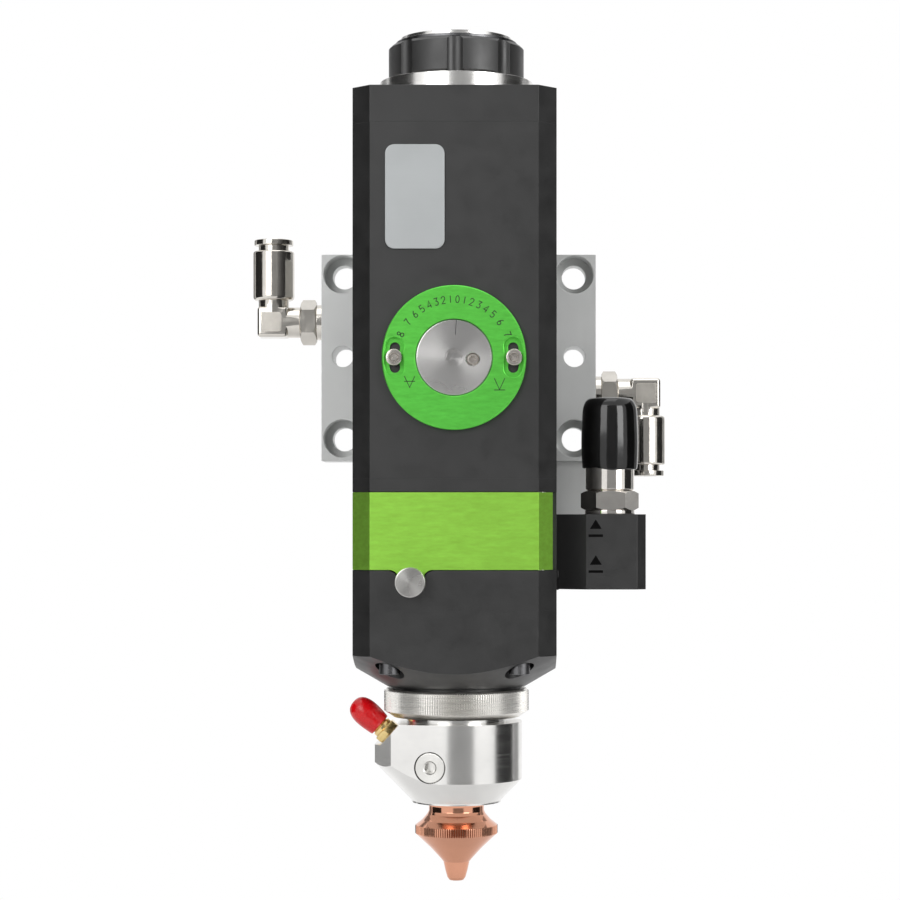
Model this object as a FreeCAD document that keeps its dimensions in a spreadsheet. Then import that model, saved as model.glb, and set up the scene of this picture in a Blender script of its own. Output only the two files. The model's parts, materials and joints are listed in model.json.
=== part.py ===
import FreeCAD, Part
import math
import os
import re

import Sketcher

# A laser cutting head with a manual focus dial, a hinged cover over its window drawer,
# a height sensor and a screw-on nozzle. Millimetres, +Z up along the beam, +Y to the machine.
# Pieces are drawn about the beam axis, with height 0 at the middle of the plate's bolt
# pattern, and are then set in front of the plate's back face, where the origin lies.

SIZES = {
    # Mounting plate
    "plate_wide": 97.0,
    "plate_thick": 20.0,
    "plate_top": 36.0,
    "plate_drop": 37.0,
    "bolt_inset": 7.5,
    "bolt_up": 58.0,
    "bolt_bore": 8.5,
    "bolt_head_bore": 13.5,
    "bolt_head_deep": 11.0,
    "middle_bore": 7.5,
    "port_rise": 12.75,
    "port_deep": 9.0,
    "channel_bore": 5.0,
    "channel_plug_wide": 8.0,
    "channel_plug_long": 7.0,
    # Square body section shared by the housing, window block, nose and top flange
    "body_wide": 67.0,
    "body_chamfer": 6.0,
    "housing_top": 72.0,
    "housing_drop": 44.3,
    "carriage_bore": 40.0,
    "carriage_bore_top": 30.0,
    "web_bore": 28.0,
    "web_thick": 4.0,
    "collimator_bore": 36.0,
    "running_gap": 0.05,
    "screw_gap": 0.05,
    # How far a cutting shape runs on past the face that it cuts
    "cut_past": 1.0,
    # Name plate, bare
    "label_left": 22.5,
    "label_wide": 19.4,
    "label_bottom": 30.5,
    "label_high": 34.0,
    "label_thick": 0.8,
    "label_round": 3.0,
    # Top flange, fibre receiver and its locking collar
    "flange_high": 12.0,
    "flange_bore": 36.0,
    "receiver_flange_wide": 52.0,
    "receiver_flange_high": 6.0,
    "receiver_barrel_wide": 38.0,
    "receiver_barrel_high": 15.0,
    "receiver_spigot_deep": 8.0,
    "fibre_bore": 25.2,
    "fibre_bore_deep": 21.0,
    "receiver_throat": 18.0,
    "collar_wall": 3.95,
    "collar_high": 12.0,
    "collar_lift": 0.3,
    "collar_edge": 1.0,
    "collar_flute": 7.0,
    "collar_flute_bite": 1.4,
    "collar_clip_thick": 1.0,
    "collar_clip_wide": 41.2,
    "clip_groove_deep": 0.8,
    # Collimator
    "collimator_high": 36.0,
    "collimator_clear": 26.0,
    "collimator_lens_wide": 30.0,
    "collimator_lens_edge": 3.0,
    "collimator_lens_crown": 1.6,
    "collimator_seat_deep": 12.0,
    "collimator_nut_high": 5.0,
    "collimator_nut_wall": 1.6,
    # Focusing carriage
    "carriage_bottom_drop": 20.0,
    "carriage_high": 30.0,
    "carriage_clear": 26.0,
    "focus_lens_wide": 28.0,
    "focus_lens_edge": 2.6,
    "focus_lens_crown": 1.4,
    "focus_nut_high": 3.4,
    "focus_nut_wall": 1.5,
    "focus_seat_deep": 9.4,
    "pin_slot_high": 7.0,
    "pin_slot_half": 11.4,
    "pin_slot_deep": 6.0,
    "carriage_groove_wide": 1.9,
    "carriage_groove_deep": 1.5,
    "carriage_seal_rise": 25.0,
    # Focus dial
    "dial_drop": 5.0,
    "dial_face_wide": 24.7,
    "dial_face_proud": 2.0,
    "dial_edge": 0.3,
    "dial_flange_clear": 2.0,
    "dial_flange_thick": 2.4,
    "dial_seat_gap": 0.2,
    "dial_end_gap": 0.05,
    "dial_journal_wide": 24.0,
    "dial_journal_end_gap": 0.3,
    "dial_pin_wide": 5.0,
    "dial_pin_throw": 8.17,
    "dial_pin_long": 5.1,
    "dial_pin_root": 2.0,
    "dial_pin_lag": 3.5,
    "dial_socket": 5.0,
    "dial_socket_deep": 5.0,
    "dial_hole_across": 6.1,
    "dial_hole_drop": 0.5,
    "dial_grub_thread": 4.0,
    "dial_grub_long": 6.0,
    "dial_grub_socket": 2.0,
    "dial_grub_sunk": 1.0,
    "dial_grub_room": 0.5,
    "dial_groove_inset": 4.75,
    "dial_groove_wide": 1.6,
    "dial_groove_deep": 1.2,
    # Scale ring
    "scale_wide": 47.0,
    "scale_thick": 2.5,
    "scale_edge": 0.4,
    "scale_bore_gap": 0.2,
    "slot_inset": 4.0,
    "slot_wide": 3.4,
    "slot_half_angle": 9.6,
    "slot_recess_wide": 6.2,
    "slot_recess_half_angle": 10.4,
    "slot_recess_deep": 1.3,
    # Window block
    "block_high": 43.2,
    "beam_bore": 28.0,
    "pocket_drop": 4.3,
    "pocket_high": 25.7,
    "pocket_deep": 9.0,
    "door_gap": 0.2,
    "drawer_mid_drop": 17.15,
    "duct_drop": 31.7,
    "duct_bore": 6.0,
    # Hinged cover, its pin and its captive screw
    "hinge_pin_wide": 3.0,
    "hinge_across": 28.4,
    "hinge_round": 3.8,
    "hinge_pin_foot": 5.2,
    "knob_across": 14.1,
    "knob_drop": 3.9,
    "lobe_round": 4.0,
    "lobe_flare": 3.0,
    "lobe_gap": 0.45,
    "knob_wide": 9.8,
    "knob_long": 8.0,
    "knob_edge": 0.6,
    "knob_root": 0.25,
    "knob_knurl_count": 60,
    "knob_groove_deep": 0.45,
    "knob_shank": 4.13,
    "knob_shank_past": 3.2,
    "knob_hole": 5.0,
    "knob_hole_deep": 8.0,
    "knob_travel": 3.2,
    "clip_wide": 7.0,
    "clip_thick": 0.8,
    "clip_step": 0.8,
    "clip_ease": 0.1,
    "clip_bore_gap": 0.3,
    # Window drawer
    "drawer_wide": 29.0,
    "drawer_high": 11.0,
    "drawer_setback": 12.1,
    "drawer_long": 39.1,
    "drawer_slot_gap": 0.1,
    "drawer_end_gap": 0.5,
    "window_wide": 24.9,
    "window_thick": 1.5,
    "window_clear": 22.0,
    "window_seat_rise": 3.0,
    "window_nut_high": 2.0,
    "window_nut_wall": 1.2,
    "window_seal_cord": 0.9,
    # Nose
    "nose_side_high": 20.6,
    "nose_high": 26.4,
    "nose_end_wide": 47.2,
    "nose_neck_wide": 43.4,
    "nose_neck_high": 1.1,
    "nose_boss_wide": 40.0,
    "nose_boss_high": 4.2,
    "chamber_bore": 25.0,
    "nose_screw_across": 42.6,
    "nose_screw_deep_apart": 55.0,
    "nose_screw_pocket": 9.6,
    "nose_screw_head_end": 21.0,
    # Lock ring
    "ring_wall": 4.4,
    "ring_high": 9.6,
    "ring_knurl_deep": 0.35,
    "ring_knurl_count": 90,
    "ring_top_edge": 0.9,
    "ring_taper_high": 2.1,
    "ring_taper_in": 3.0,
    "ring_lip_high": 2.9,
    "ring_lip_gap": 0.2,
    "ring_nose_gap": 0.8,
    "ring_recess_deep": 0.7,
    "ring_recess_gap": 0.3,
    # Height sensor
    "sensor_wide": 44.4,
    "sensor_top_drop": 1.6,
    "sensor_side_high": 19.5,
    "sensor_cone_high": 7.3,
    "sensor_end_wide": 30.2,
    "sensor_end_high": 0.6,
    "sensor_neck_wide": 34.0,
    "sensor_flange_wide": 39.2,
    "sensor_flange_thick": 2.0,
    "spigot_wide": 28.0,
    "spigot_high": 6.3,
    "spigot_groove_drop": 2.4,
    "spigot_groove_wide": 1.9,
    "spigot_groove_deep": 1.4,
    "sensor_bore": 18.0,
    "lug_tilt": 12.2,
    "lug_flat_long": 17.1,
    "lug_past": 4.75,
    "lug_end_half": 5.8,
    "plug_across": 8.4,
    "plug_drop": 14.05,
    "plug_wide": 10.0,
    "plug_gap": 0.3,
    "plug_long": 7.0,
    "plug_socket": 3.5,
    "plug_socket_deep": 3.0,
    # Insulator, nozzle holder and nozzle
    "insulator_wide": 23.0,
    "insulator_high": 14.0,
    "insulator_lift": 0.3,
    "holder_wide": 16.0,
    "holder_high": 12.0,
    "nozzle_thread": 11.0,
    "nozzle_stub": 6.0,
    "nozzle_neck_wide": 19.4,
    "nozzle_neck_high": 3.6,
    "nozzle_band_wide": 28.0,
    "nozzle_flare_high": 3.9,
    "nozzle_band_high": 3.0,
    "nozzle_knurl_deep": 0.3,
    "nozzle_knurl_count": 72,
    "nozzle_cone_high": 9.5,
    "nozzle_tip_wide": 9.2,
    "nozzle_tip_end": 6.2,
    "nozzle_tip_high": 6.7,
    "nozzle_tip_waist": 3.3,
    "nozzle_tip_waist_wide": 8.6,
    "nozzle_tip_edge": 0.5,
    "nozzle_tip_edge_high": 1.0,
    "nozzle_orifice": 1.5,
    "nozzle_throat": 7.0,
    "nozzle_land": 3.0,
    # Coaxial connector on the sensor, and its cap
    "coax_tilt": 49.0,
    "coax_inset": 1.85,
    "coax_drop": 4.45,
    "coax_ledge": 4.1,
    "coax_hex": 8.0,
    "coax_hex_high": 2.6,
    "coax_barrel": 6.2,
    "coax_barrel_end": 12.0,
    "coax_stub": 6.0,
    "coax_stub_long": 5.5,
    "coax_socket": 4.6,
    "coax_throat": 4.1,
    "coax_throat_deep": 8.0,
    "coax_core_recess": 1.9,
    "coax_core_gap": 0.02,
    "coax_contact": 1.0,
    "coax_cap_start": 4.4,
    "coax_cap_mouth": 8.0,
    "coax_cap_swell": 4.8,
    "coax_cap_wide": 9.2,
    "coax_cap_waist": 7.5,
    "coax_cap_waist_wide": 8.8,
    "coax_cap_shoulder": 10.3,
    "coax_cap_shoulder_wide": 7.4,
    "coax_cap_end_wide": 5.0,
    "coax_cap_long": 12.1,
    "coax_cap_room": 2.0,
    # Swivel elbows for the cooling water
    "elbow_thread": 9.0,
    "elbow_collar": 12.6,
    "elbow_collar_high": 2.3,
    "elbow_hex": 14.0,
    "elbow_hex_high": 5.65,
    "elbow_swivel_gap": 0.1,
    "elbow_reach": 17.8,
    "elbow_arm": 10.9,
    "elbow_spindle": 7.0,
    "elbow_spindle_long": 5.0,
    "elbow_sleeve": 14.7,
    "elbow_sleeve_start": 7.75,
    "elbow_sleeve_end": 25.4,
    "elbow_sleeve_round": 1.6,
    "elbow_water": 4.6,
    "tube_bore": 8.2,
    "tube_seat_long": 4.0,
    "collet_wide": 10.8,
    "collet_ring": 13.9,
    "collet_ring_high": 2.0,
    "collet_stand": 2.0,
    "collet_skirt_long": 11.4,
    # Gas block, its bracket and the gas fitting
    "gas_block_wide": 30.3,
    "gas_block_drop": 11.6,
    "gas_block_high": 25.2,
    "gas_block_front": 12.0,
    "gas_block_back": 20.0,
    "gas_block_slant": 10.2,
    "gas_block_slant_deep": 5.5,
    "gas_block_edge": 3.0,
    "gas_across": 52.0,
    "gas_front": 1.5,
    "gas_bore": 8.0,
    "gas_washer_wide": 17.0,
    "gas_washer_high": 1.4,
    "gas_hex": 17.0,
    "gas_hex_high": 6.5,
    "gas_stub": 13.0,
    "gas_stub_long": 9.0,
    "gas_nut_root": 0.5,
    "gas_sleeve": 16.6,
    "gas_sleeve_high": 22.0,
    "gas_sleeve_edge": 0.8,
    "gas_tube_bore": 10.2,
    "gas_seat_long": 5.0,
    "gas_collet_wide": 13.4,
    "gas_collet_ring": 15.6,
    "gas_collet_skirt_long": 11.0,
    "gas_cap_wide": 19.2,
    "gas_cap_start": 15.4,
    "gas_cap_long": 23.95,
    "gas_cap_top_wide": 18.2,
    "gas_cap_round": 5.0,
    "gas_cap_gap": 0.1,
    "gas_cap_dome": 2.0,
    "duct_seal_cord": 1.6,
    "duct_seal_mid": 9.6,
    "bracket_wide": 16.2,
    "bracket_thick": 14.0,
    "bracket_inset": 3.0,
    "bracket_foot_high": 22.0,
    "bracket_screw_apart": 12.0,
    "bracket_screw_inset": 4.2,
    "bracket_screw_grip": 12.0,
    "gas_screw_apart": 7.2,
    "gas_screw_grip": 12.0,
    # Socket head screws, one set of sizes for each thread
    "small_thread": 3.0,
    "small_head": 5.4,
    "small_head_high": 3.0,
    "small_socket": 2.5,
    "medium_thread": 4.0,
    "medium_head": 7.0,
    "medium_head_high": 4.0,
    "medium_socket": 3.0,
    "large_thread": 5.0,
    "large_head": 8.5,
    "large_head_high": 5.0,
    "large_socket": 4.0,
    "head_room": 0.5,
    "shank_room": 0.25,
    "thread_bite": 8.0,
    "socket_share": 0.55,
    "plate_screw_across": 42.0,
    "plate_screw_up": 48.0,
    "block_screw_across": 54.0,
    "block_screw_deep_apart": 36.0,
    "block_screw_head_up": 12.0,
    "top_screw_apart": 50.0,
    "receiver_screw_circle": 45.0,
}

# Levels and places that follow from the sizes above
PLACES = {
    "body_half": "body_wide / 2",
    "flat_half": "body_half - body_chamfer",
    "beam_setback": "body_half + plate_thick",
    "plate_back": "body_half + plate_thick",
    "plate_mid": "body_half + plate_thick / 2",
    "bolt_across": "plate_wide - 2 * bolt_inset",
    "housing_bottom": "0 - housing_drop",
    "web_top": "carriage_bore_top + web_thick",
    "flange_top": "housing_top + flange_high",
    "receiver_seat": "flange_top + receiver_flange_high",
    "receiver_top": "receiver_seat + receiver_barrel_high",
    "collar_bore": "receiver_barrel_wide / 2 + running_gap",
    "collar_half": "collar_bore + collar_wall",
    "collar_bottom": "receiver_seat + collar_lift",
    "collar_top": "collar_bottom + collar_high",
    "collar_clip_bottom": "collar_top + collar_lift",
    "collimator_top": "web_top + collimator_high",
    "collimator_seat": "collimator_top - collimator_seat_deep",
    "carriage_bottom": "0 - carriage_bottom_drop",
    "carriage_top": "carriage_bottom + carriage_high",
    "focus_seat": "carriage_bottom + focus_seat_deep",
    "dial_height": "0 - dial_drop",
    "dial_pin_height": "dial_height - dial_pin_throw * sin(dial_pin_lag)",
    "dial_pin_place": "dial_pin_throw * cos(dial_pin_lag)",
    "dial_seat": "0 - body_half + dial_flange_thick + 2 * dial_end_gap",
    "dial_flange_back": "dial_seat - dial_end_gap",
    "dial_flange_front": "dial_flange_back - dial_flange_thick",
    "dial_face": "0 - body_half - dial_face_proud",
    "dial_journal_end": "0 - carriage_bore / 2 - dial_journal_end_gap",
    "dial_groove": "dial_journal_end - dial_groove_inset",
    "scale_face": "0 - body_half - scale_thick",
    "scale_bore": "dial_face_wide + 2 * scale_bore_gap",
    "slot_radius": "scale_wide / 2 - slot_inset",
    "dial_flange_wide": "2 * (slot_radius - small_thread / 2 - dial_flange_clear)",
    "block_top": "housing_bottom",
    "block_bottom": "block_top - block_high",
    "pocket_top": "block_top - pocket_drop",
    "pocket_bottom": "pocket_top - pocket_high",
    "pocket_floor": "0 - body_half + pocket_deep",
    "door_back": "pocket_floor - door_gap",
    "door_top": "pocket_top - door_gap",
    "door_bottom": "pocket_bottom + door_gap",
    "hinge_front": "door_back - hinge_round",
    "hinge_bore": "hinge_pin_wide + 2 * running_gap",
    "door_end": "hinge_across + hinge_round",
    "door_corner": "door_end - flat_half",
    "knob_height": "door_bottom - knob_drop",
    "knob_tip": "door_back + knob_shank_past",
    "clip_back": "door_back - clip_step",
    "clip_front": "clip_back - clip_thick",
    "clip_room": "clip_front - knob_travel - 2 * clip_ease",
    "drawer_mid": "block_top - drawer_mid_drop",
    "drawer_front": "drawer_setback - body_half",
    "drawer_back": "drawer_front + drawer_long",
    "drawer_bottom": "drawer_mid - drawer_high / 2",
    "drawer_top": "drawer_mid + drawer_high / 2",
    "window_seat": "drawer_bottom + window_seat_rise",
    "window_bottom": "window_seat + window_seal_cord",
    "window_top": "window_bottom + window_thick",
    "duct_height": "block_top - duct_drop",
    "nose_top": "block_bottom",
    "nose_edge": "nose_top - nose_side_high",
    "nose_end": "nose_top - nose_high",
    "nose_slope": "(nose_high - nose_side_high) / (body_half - nose_end_wide / 2)",
    "nose_neck_end": "nose_end - nose_neck_high",
    "nose_boss_end": "nose_neck_end - nose_boss_high",
    "nose_screw_seat": "nose_top - nose_screw_head_end + medium_head_high",
    "spigot_top": "nose_boss_end + spigot_high",
    "ring_top": "nose_end - ring_nose_gap",
    "ring_bottom": "ring_top - ring_high",
    "ring_taper_top": "ring_bottom + ring_taper_high",
    "ring_lip_top": "ring_bottom + ring_lip_high",
    "ring_recess": "ring_top - ring_recess_deep",
    "ring_thread": "nose_boss_wide / 2 + 2 * running_gap",
    "ring_half": "ring_thread + ring_wall",
    "ring_root": "ring_half - 1.5 * ring_knurl_deep",
    "sensor_flange_bottom": "nose_boss_end - sensor_flange_thick",
    "sensor_top": "ring_bottom - sensor_top_drop",
    "sensor_edge": "sensor_top - sensor_side_high",
    "sensor_cone_end": "sensor_edge - sensor_cone_high",
    "sensor_bottom": "sensor_cone_end - sensor_end_high",
    "sensor_half": "sensor_wide / 2",
    "sensor_slope": "sensor_cone_high / (sensor_half - sensor_end_wide / 2)",
    "lug_start": "sensor_half * sin(lug_tilt)",
    "lug_start_deep": "sensor_half * cos(lug_tilt)",
    "lug_corner": "lug_start + lug_flat_long * cos(lug_tilt)",
    "lug_corner_deep": "lug_start_deep - lug_flat_long * sin(lug_tilt)",
    "plug_height": "sensor_top - plug_drop",
    "plug_front": "lug_start_deep - (plug_across - lug_start) * tan(lug_tilt)",
    "coax_height": "sensor_top - coax_drop",
    "coax_across": "ring_half - coax_inset",
    "lug_reach": "coax_across + lug_past",
    "insulator_bottom": "sensor_bottom + insulator_lift",
    "insulator_top": "insulator_bottom + insulator_high",
    "holder_top": "sensor_bottom + holder_high",
    "nozzle_neck_end": "sensor_bottom - nozzle_neck_high",
    "nozzle_band_top": "nozzle_neck_end - nozzle_flare_high",
    "nozzle_band_end": "nozzle_band_top - nozzle_band_high",
    "nozzle_cone_end": "nozzle_band_end - nozzle_cone_high",
    "nozzle_end": "nozzle_cone_end - nozzle_tip_high",
    "elbow_start": "plate_wide / 2 + elbow_collar_high + elbow_hex_high + elbow_swivel_gap",
    "elbow_axis": "plate_wide / 2 + elbow_reach",
    "elbow_arm_long": "elbow_axis - elbow_start",
    "port_bore": "elbow_thread + 2 * screw_gap",
    "collet_bore": "collet_wide + 2 * running_gap",
    "collet_foot": "elbow_sleeve_end - collet_skirt_long",
    "collet_bore_end": "collet_foot - collet_stand",
    "tube_seat_end": "collet_bore_end - tube_seat_long",
    "collet_top": "elbow_sleeve_end + collet_stand + collet_ring_high",
    "gas_block_top": "block_top - gas_block_drop",
    "gas_block_bottom": "gas_block_top - gas_block_high",
    "gas_block_end": "body_half + gas_block_wide",
    "gas_hex_bottom": "gas_block_top + gas_washer_high",
    "gas_hex_top": "gas_hex_bottom + gas_hex_high",
    "gas_sleeve_top": "gas_hex_top + gas_sleeve_high",
    "gas_collet_foot": "gas_sleeve_top - gas_collet_skirt_long",
    "gas_collet_bore_end": "gas_collet_foot - collet_stand",
    "gas_seat_end": "gas_collet_bore_end - gas_seat_long",
    "gas_collet_top": "gas_sleeve_top + collet_stand + collet_ring_high",
    "gas_cap_bottom": "gas_block_top + gas_cap_start",
    "duct_seal_depth": "duct_seal_cord",
    "bracket_left": "body_half",
    "bracket_right": "bracket_left + bracket_wide",
    "bracket_screw_deep": "gas_block_back + bracket_screw_inset",
    "bracket_foot_mid": "gas_block_bottom + bracket_foot_high / 2",
    "bracket_back": "plate_back - bracket_inset",
    "bracket_front": "bracket_back - bracket_thick",
    "bracket_mid": "bracket_left + bracket_wide / 2",
    "bracket_top": "0 - plate_drop",
    "bracket_foot_top": "gas_block_bottom + bracket_foot_high",
}

X_AXIS = FreeCAD.Vector(1, 0, 0)
Y_AXIS = FreeCAD.Vector(0, 1, 0)
Z_AXIS = FreeCAD.Vector(0, 0, 1)

# How a piece drawn along +Z is turned, named by where its end then points
TURNS = {
    "up": FreeCAD.Rotation(),
    "down": FreeCAD.Rotation(X_AXIS, 180),
    "back": FreeCAD.Rotation(X_AXIS, -90),
    "front": FreeCAD.Rotation(X_AXIS, 90),
    "right": FreeCAD.Rotation(Y_AXIS, 90),
    "left": FreeCAD.Rotation(Y_AXIS, -90),
}

WORD = re.compile(r"[a-z][a-z0-9_]*")

doc = FreeCAD.newDocument("laser_cutting_head")
sheet = doc.addObject("Spreadsheet::Sheet", "Sheet")
for row, (alias, value) in enumerate(SIZES.items(), start=1):
    sheet.set(f"A{row}", alias)
    sheet.set(f"B{row}", str(value))
    sheet.setAlias(f"B{row}", alias)
doc.recompute()

sub_parts = []


def named(text):
    """Write a size formula with the sheet's own aliases."""
    def swap(match):
        word = match.group(0)
        if word in SIZES:
            return "Sheet." + word
        if word in PLACES:
            return "(" + named(PLACES[word]) + ")"
        return word
    return WORD.sub(swap, text)


def size(alias):
    return float(sheet.get(alias))


def bind(thing, **formulas):
    for name, text in formulas.items():
        thing.setExpression(name, named(text))
    return thing


def place(thing, x="0", y="0", z="0", turn="up"):
    rotation = TURNS[turn] if isinstance(turn, str) else turn
    thing.Placement = FreeCAD.Placement(FreeCAD.Vector(0, 0, 0), rotation)
    for letter, text in zip("xyz", (x, y, z)):
        thing.setExpression("Placement.Base." + letter, named(text))
    return thing


def sub_part(label, thing, x="0", y="0", z="0", turn="up"):
    """Name a finished piece and set it in front of the plate's back face."""
    place(thing, x, y + " - beam_setback", z, turn)
    thing.Label = label
    sub_parts.append(thing)
    return thing


def origin_plane(body, role):
    return next(item for item in body.Origin.OriginFeatures if item.Role == role)


# Where a sketch's corners start, before their formulas place them
SEED_ACROSS = 15
SEED_SPREAD = 9


def outline(body, name, role, points):
    """A closed sketch of straight edges, every corner tied to formulas."""
    sketch = body.newObject("Sketcher::SketchObject", name)
    sketch.AttachmentSupport = [(origin_plane(body, role), "")]
    sketch.MapMode = "FlatFace"
    count = len(points)
    start = []
    for index in range(count):
        angle = 2 * math.pi * index / count
        start.append(FreeCAD.Vector(SEED_ACROSS + SEED_SPREAD * math.cos(angle),
                                    SEED_SPREAD * math.sin(angle), 0))
    for index in range(count):
        sketch.addGeometry(Part.LineSegment(start[index], start[(index + 1) % count]), False)
    joined = []
    for index in range(count):
        joined.append(Sketcher.Constraint("Coincident", index, 2, (index + 1) % count, 1))
    sketch.addConstraint(joined)
    for index, (across, along) in enumerate(points):
        pairs = (("DistanceX", "across", across, start[index].x),
                 ("DistanceY", "along", along, start[index].y))
        for kind, word, text, value in pairs:
            number = sketch.addConstraint(Sketcher.Constraint(kind, -1, 1, index, 1, value))
            sketch.renameConstraint(number, f"{word}_{index}")
            sketch.setExpression(f"Constraints.{word}_{index}", named(text))
    return sketch


def turned(name, *points):
    """A solid of revolution about Z from corners given as radius and height."""
    body = doc.addObject("PartDesign::Body", name)
    sketch = outline(body, name + "_profile", "XZ_Plane", points)
    spin = body.newObject("PartDesign::Revolution", name + "_turning")
    spin.Profile = sketch
    spin.ReferenceAxis = (sketch, ["V_Axis"])
    spin.Angle = 360
    return body


def prism(name, low, high, *points):
    """A plan outline padded from one height to another."""
    body = doc.addObject("PartDesign::Body", name)
    sketch = outline(body, name + "_plan", "XY_Plane", points)
    sketch.setExpression("AttachmentOffset.Base.z", named(low))
    pad = body.newObject("PartDesign::Pad", name + "_pad")
    pad.Profile = sketch
    bind(pad, Length=f"({high}) - ({low})")
    return body


def body_section(name, low, high):
    """The square section with bevelled corners that the body is made of."""
    near, far = "flat_half", "body_half"
    return prism(name, low, high,
                 ("0 - " + near, "0 - " + far), (near, "0 - " + far),
                 (far, "0 - " + near), (far, near),
                 (near, far), ("0 - " + near, far),
                 ("0 - " + far, near), ("0 - " + far, "0 - " + near))


def rod(name, radius, long, x="0", y="0", z="0", turn="up"):
    thing = doc.addObject("Part::Cylinder", name)
    bind(thing, Radius=radius, Height=long)
    return place(thing, x, y, z, turn)


def sector(name, radius, long, half_angle):
    """A wedge of a cylinder that lies evenly on both sides of +X."""
    thing = rod(name, radius, long)
    bind(thing, Angle="2 * " + half_angle)
    thing.Placement = FreeCAD.Placement(FreeCAD.Vector(0, 0, 0),
                                        FreeCAD.Rotation(Z_AXIS, -size(half_angle)))
    return thing


def block(name, x_pair, y_pair, z_pair):
    thing = doc.addObject("Part::Box", name)
    sides = {}
    for side, (low, high) in zip(("Length", "Width", "Height"), (x_pair, y_pair, z_pair)):
        sides[side] = f"({high}) - ({low})"
    bind(thing, **sides)
    return place(thing, x_pair[0], y_pair[0], z_pair[0])


def hexagon(name, flats, long, z="0"):
    thing = doc.addObject("Part::Prism", name)
    thing.Polygon = 6
    bind(thing, Circumradius=f"({flats}) / 2 / cos(30)", Height=long)
    return place(thing, z=z)


def seal_ring(name, middle, cord):
    """A seal whose cord has eight sides, so that it stays light."""
    corners = []
    for number in range(8):
        corners.append((f"{middle} + {cord} * cos({45 * number})",
                        f"{cord} * sin({45 * number})"))
    return turned(name + "_cord", *corners)


def fuse(name, *pieces):
    thing = doc.addObject("Part::MultiFuse", name)
    thing.Shapes = list(pieces)
    thing.Refine = True
    return thing


def cut(name, base, *tools):
    thing = doc.addObject("Part::Cut", name)
    thing.Base = base
    thing.Tool = tools[0] if len(tools) == 1 else fuse(name + "_tools", *tools)
    return thing


def common(name, first, second):
    thing = doc.addObject("Part::Common", name)
    thing.Base = first
    thing.Tool = second
    return thing


def group(name, *pieces):
    thing = doc.addObject("Part::Compound", name)
    thing.Links = list(pieces)
    return thing


def rounded(name, base, radius, chosen):
    """Round the edges of a piece that a test on the edge chooses."""
    doc.recompute()
    thing = doc.addObject("Part::Fillet", name)
    thing.Base = base
    edges = []
    for number, edge in enumerate(base.Shape.Edges, start=1):
        if chosen(edge):
            edges.append((number, radius, radius))
    thing.Edges = edges
    return thing


def circle_at(height, radius):
    """A test for a level circular edge of one size at one height."""
    def test(edge):
        curve = edge.Curve
        if not isinstance(curve, Part.Circle):
            return False
        return abs(curve.Center.z - height) < 0.001 and abs(curve.Radius - radius) < 0.001
    return test


def knurled_band(name, outer, deep, low, high, count):
    """A band of straight V teeth, as a solid ring that joins the piece under it."""
    depth = doc.addObject("Part::Cylinder", name + "_height")
    bind(depth, Height=f"({high}) - ({low})", Radius=f"({outer}) / 2")
    doc.recompute()
    long = depth.Height.Value
    tip = depth.Radius.Value
    root = tip - size(deep)
    teeth = int(size(count))
    corners = []
    for index in range(2 * teeth):
        radius = tip if index % 2 == 0 else root
        angle = math.pi * index / teeth
        corners.append(FreeCAD.Vector(radius * math.cos(angle), radius * math.sin(angle), 0))
    rim = Part.Wire(Part.makePolygon(corners + corners[:1]))
    star = Part.Face(rim).extrude(FreeCAD.Vector(0, 0, long))
    thing = doc.addObject("Part::Feature", name)
    thing.Shape = star.cut(Part.makeCylinder(root - size(deep), long))
    return place(thing, z=low)


def socket_screw(name, kind, long, x="0", y="0", z="0", turn="up", socket=True):
    """A cap screw whose head points along +Z from its seat at height 0."""
    head = f"{kind}_head / 2"
    shank = f"{kind}_thread / 2"
    top = f"{kind}_head_high"
    edge = f"{kind}_head / 16"
    solid = turned(name + "_blank",
                   ("0", top), (f"{head} - {edge}", top), (head, f"{top} - {edge}"),
                   (head, "0"), (shank, "0"), (shank, f"0 - ({long})"), ("0", f"0 - ({long})"))
    if not socket:
        return place(solid, x, y, z, turn)
    deep = f"{top} * socket_share"
    key = hexagon(name + "_key", f"{kind}_socket", deep + " + cut_past", f"{top} - {deep}")
    return place(cut(name, solid, key), x, y, z, turn)


def screw_hole(name, kind, long, head_deep, x, y, z, turn):
    """A clearance hole with its head recess, drawn like the screw that goes in."""
    shank = rod(name + "_shank", f"{kind}_thread / 2 + shank_room", long, z=f"0 - ({long})")
    head = rod(name + "_head", f"{kind}_head / 2 + head_room", head_deep)
    return place(fuse(name, shank, head), x, y, z, turn)


def thread_hole(name, kind, long, x, y, z, turn):
    """A tapped hole that runs on a little past the screw's end."""
    return rod(name, f"{kind}_thread / 2 + screw_gap", f"({long}) + cut_past", x, y, z, turn)


def corners_of(across, deep):
    """Four places on a rectangle about the beam, with a word for each."""
    for side, x in (("left", f"0 - ({across}) / 2"), ("right", f"({across}) / 2")):
        for end, y in (("front", f"0 - ({deep}) / 2"), ("rear", f"({deep}) / 2")):
            yield f"{side}_{end}", x, y


def sides():
    """Left and right, each with the sign that its X places take."""
    return (("left", "0 -"), ("right", "0 +"))


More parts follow.
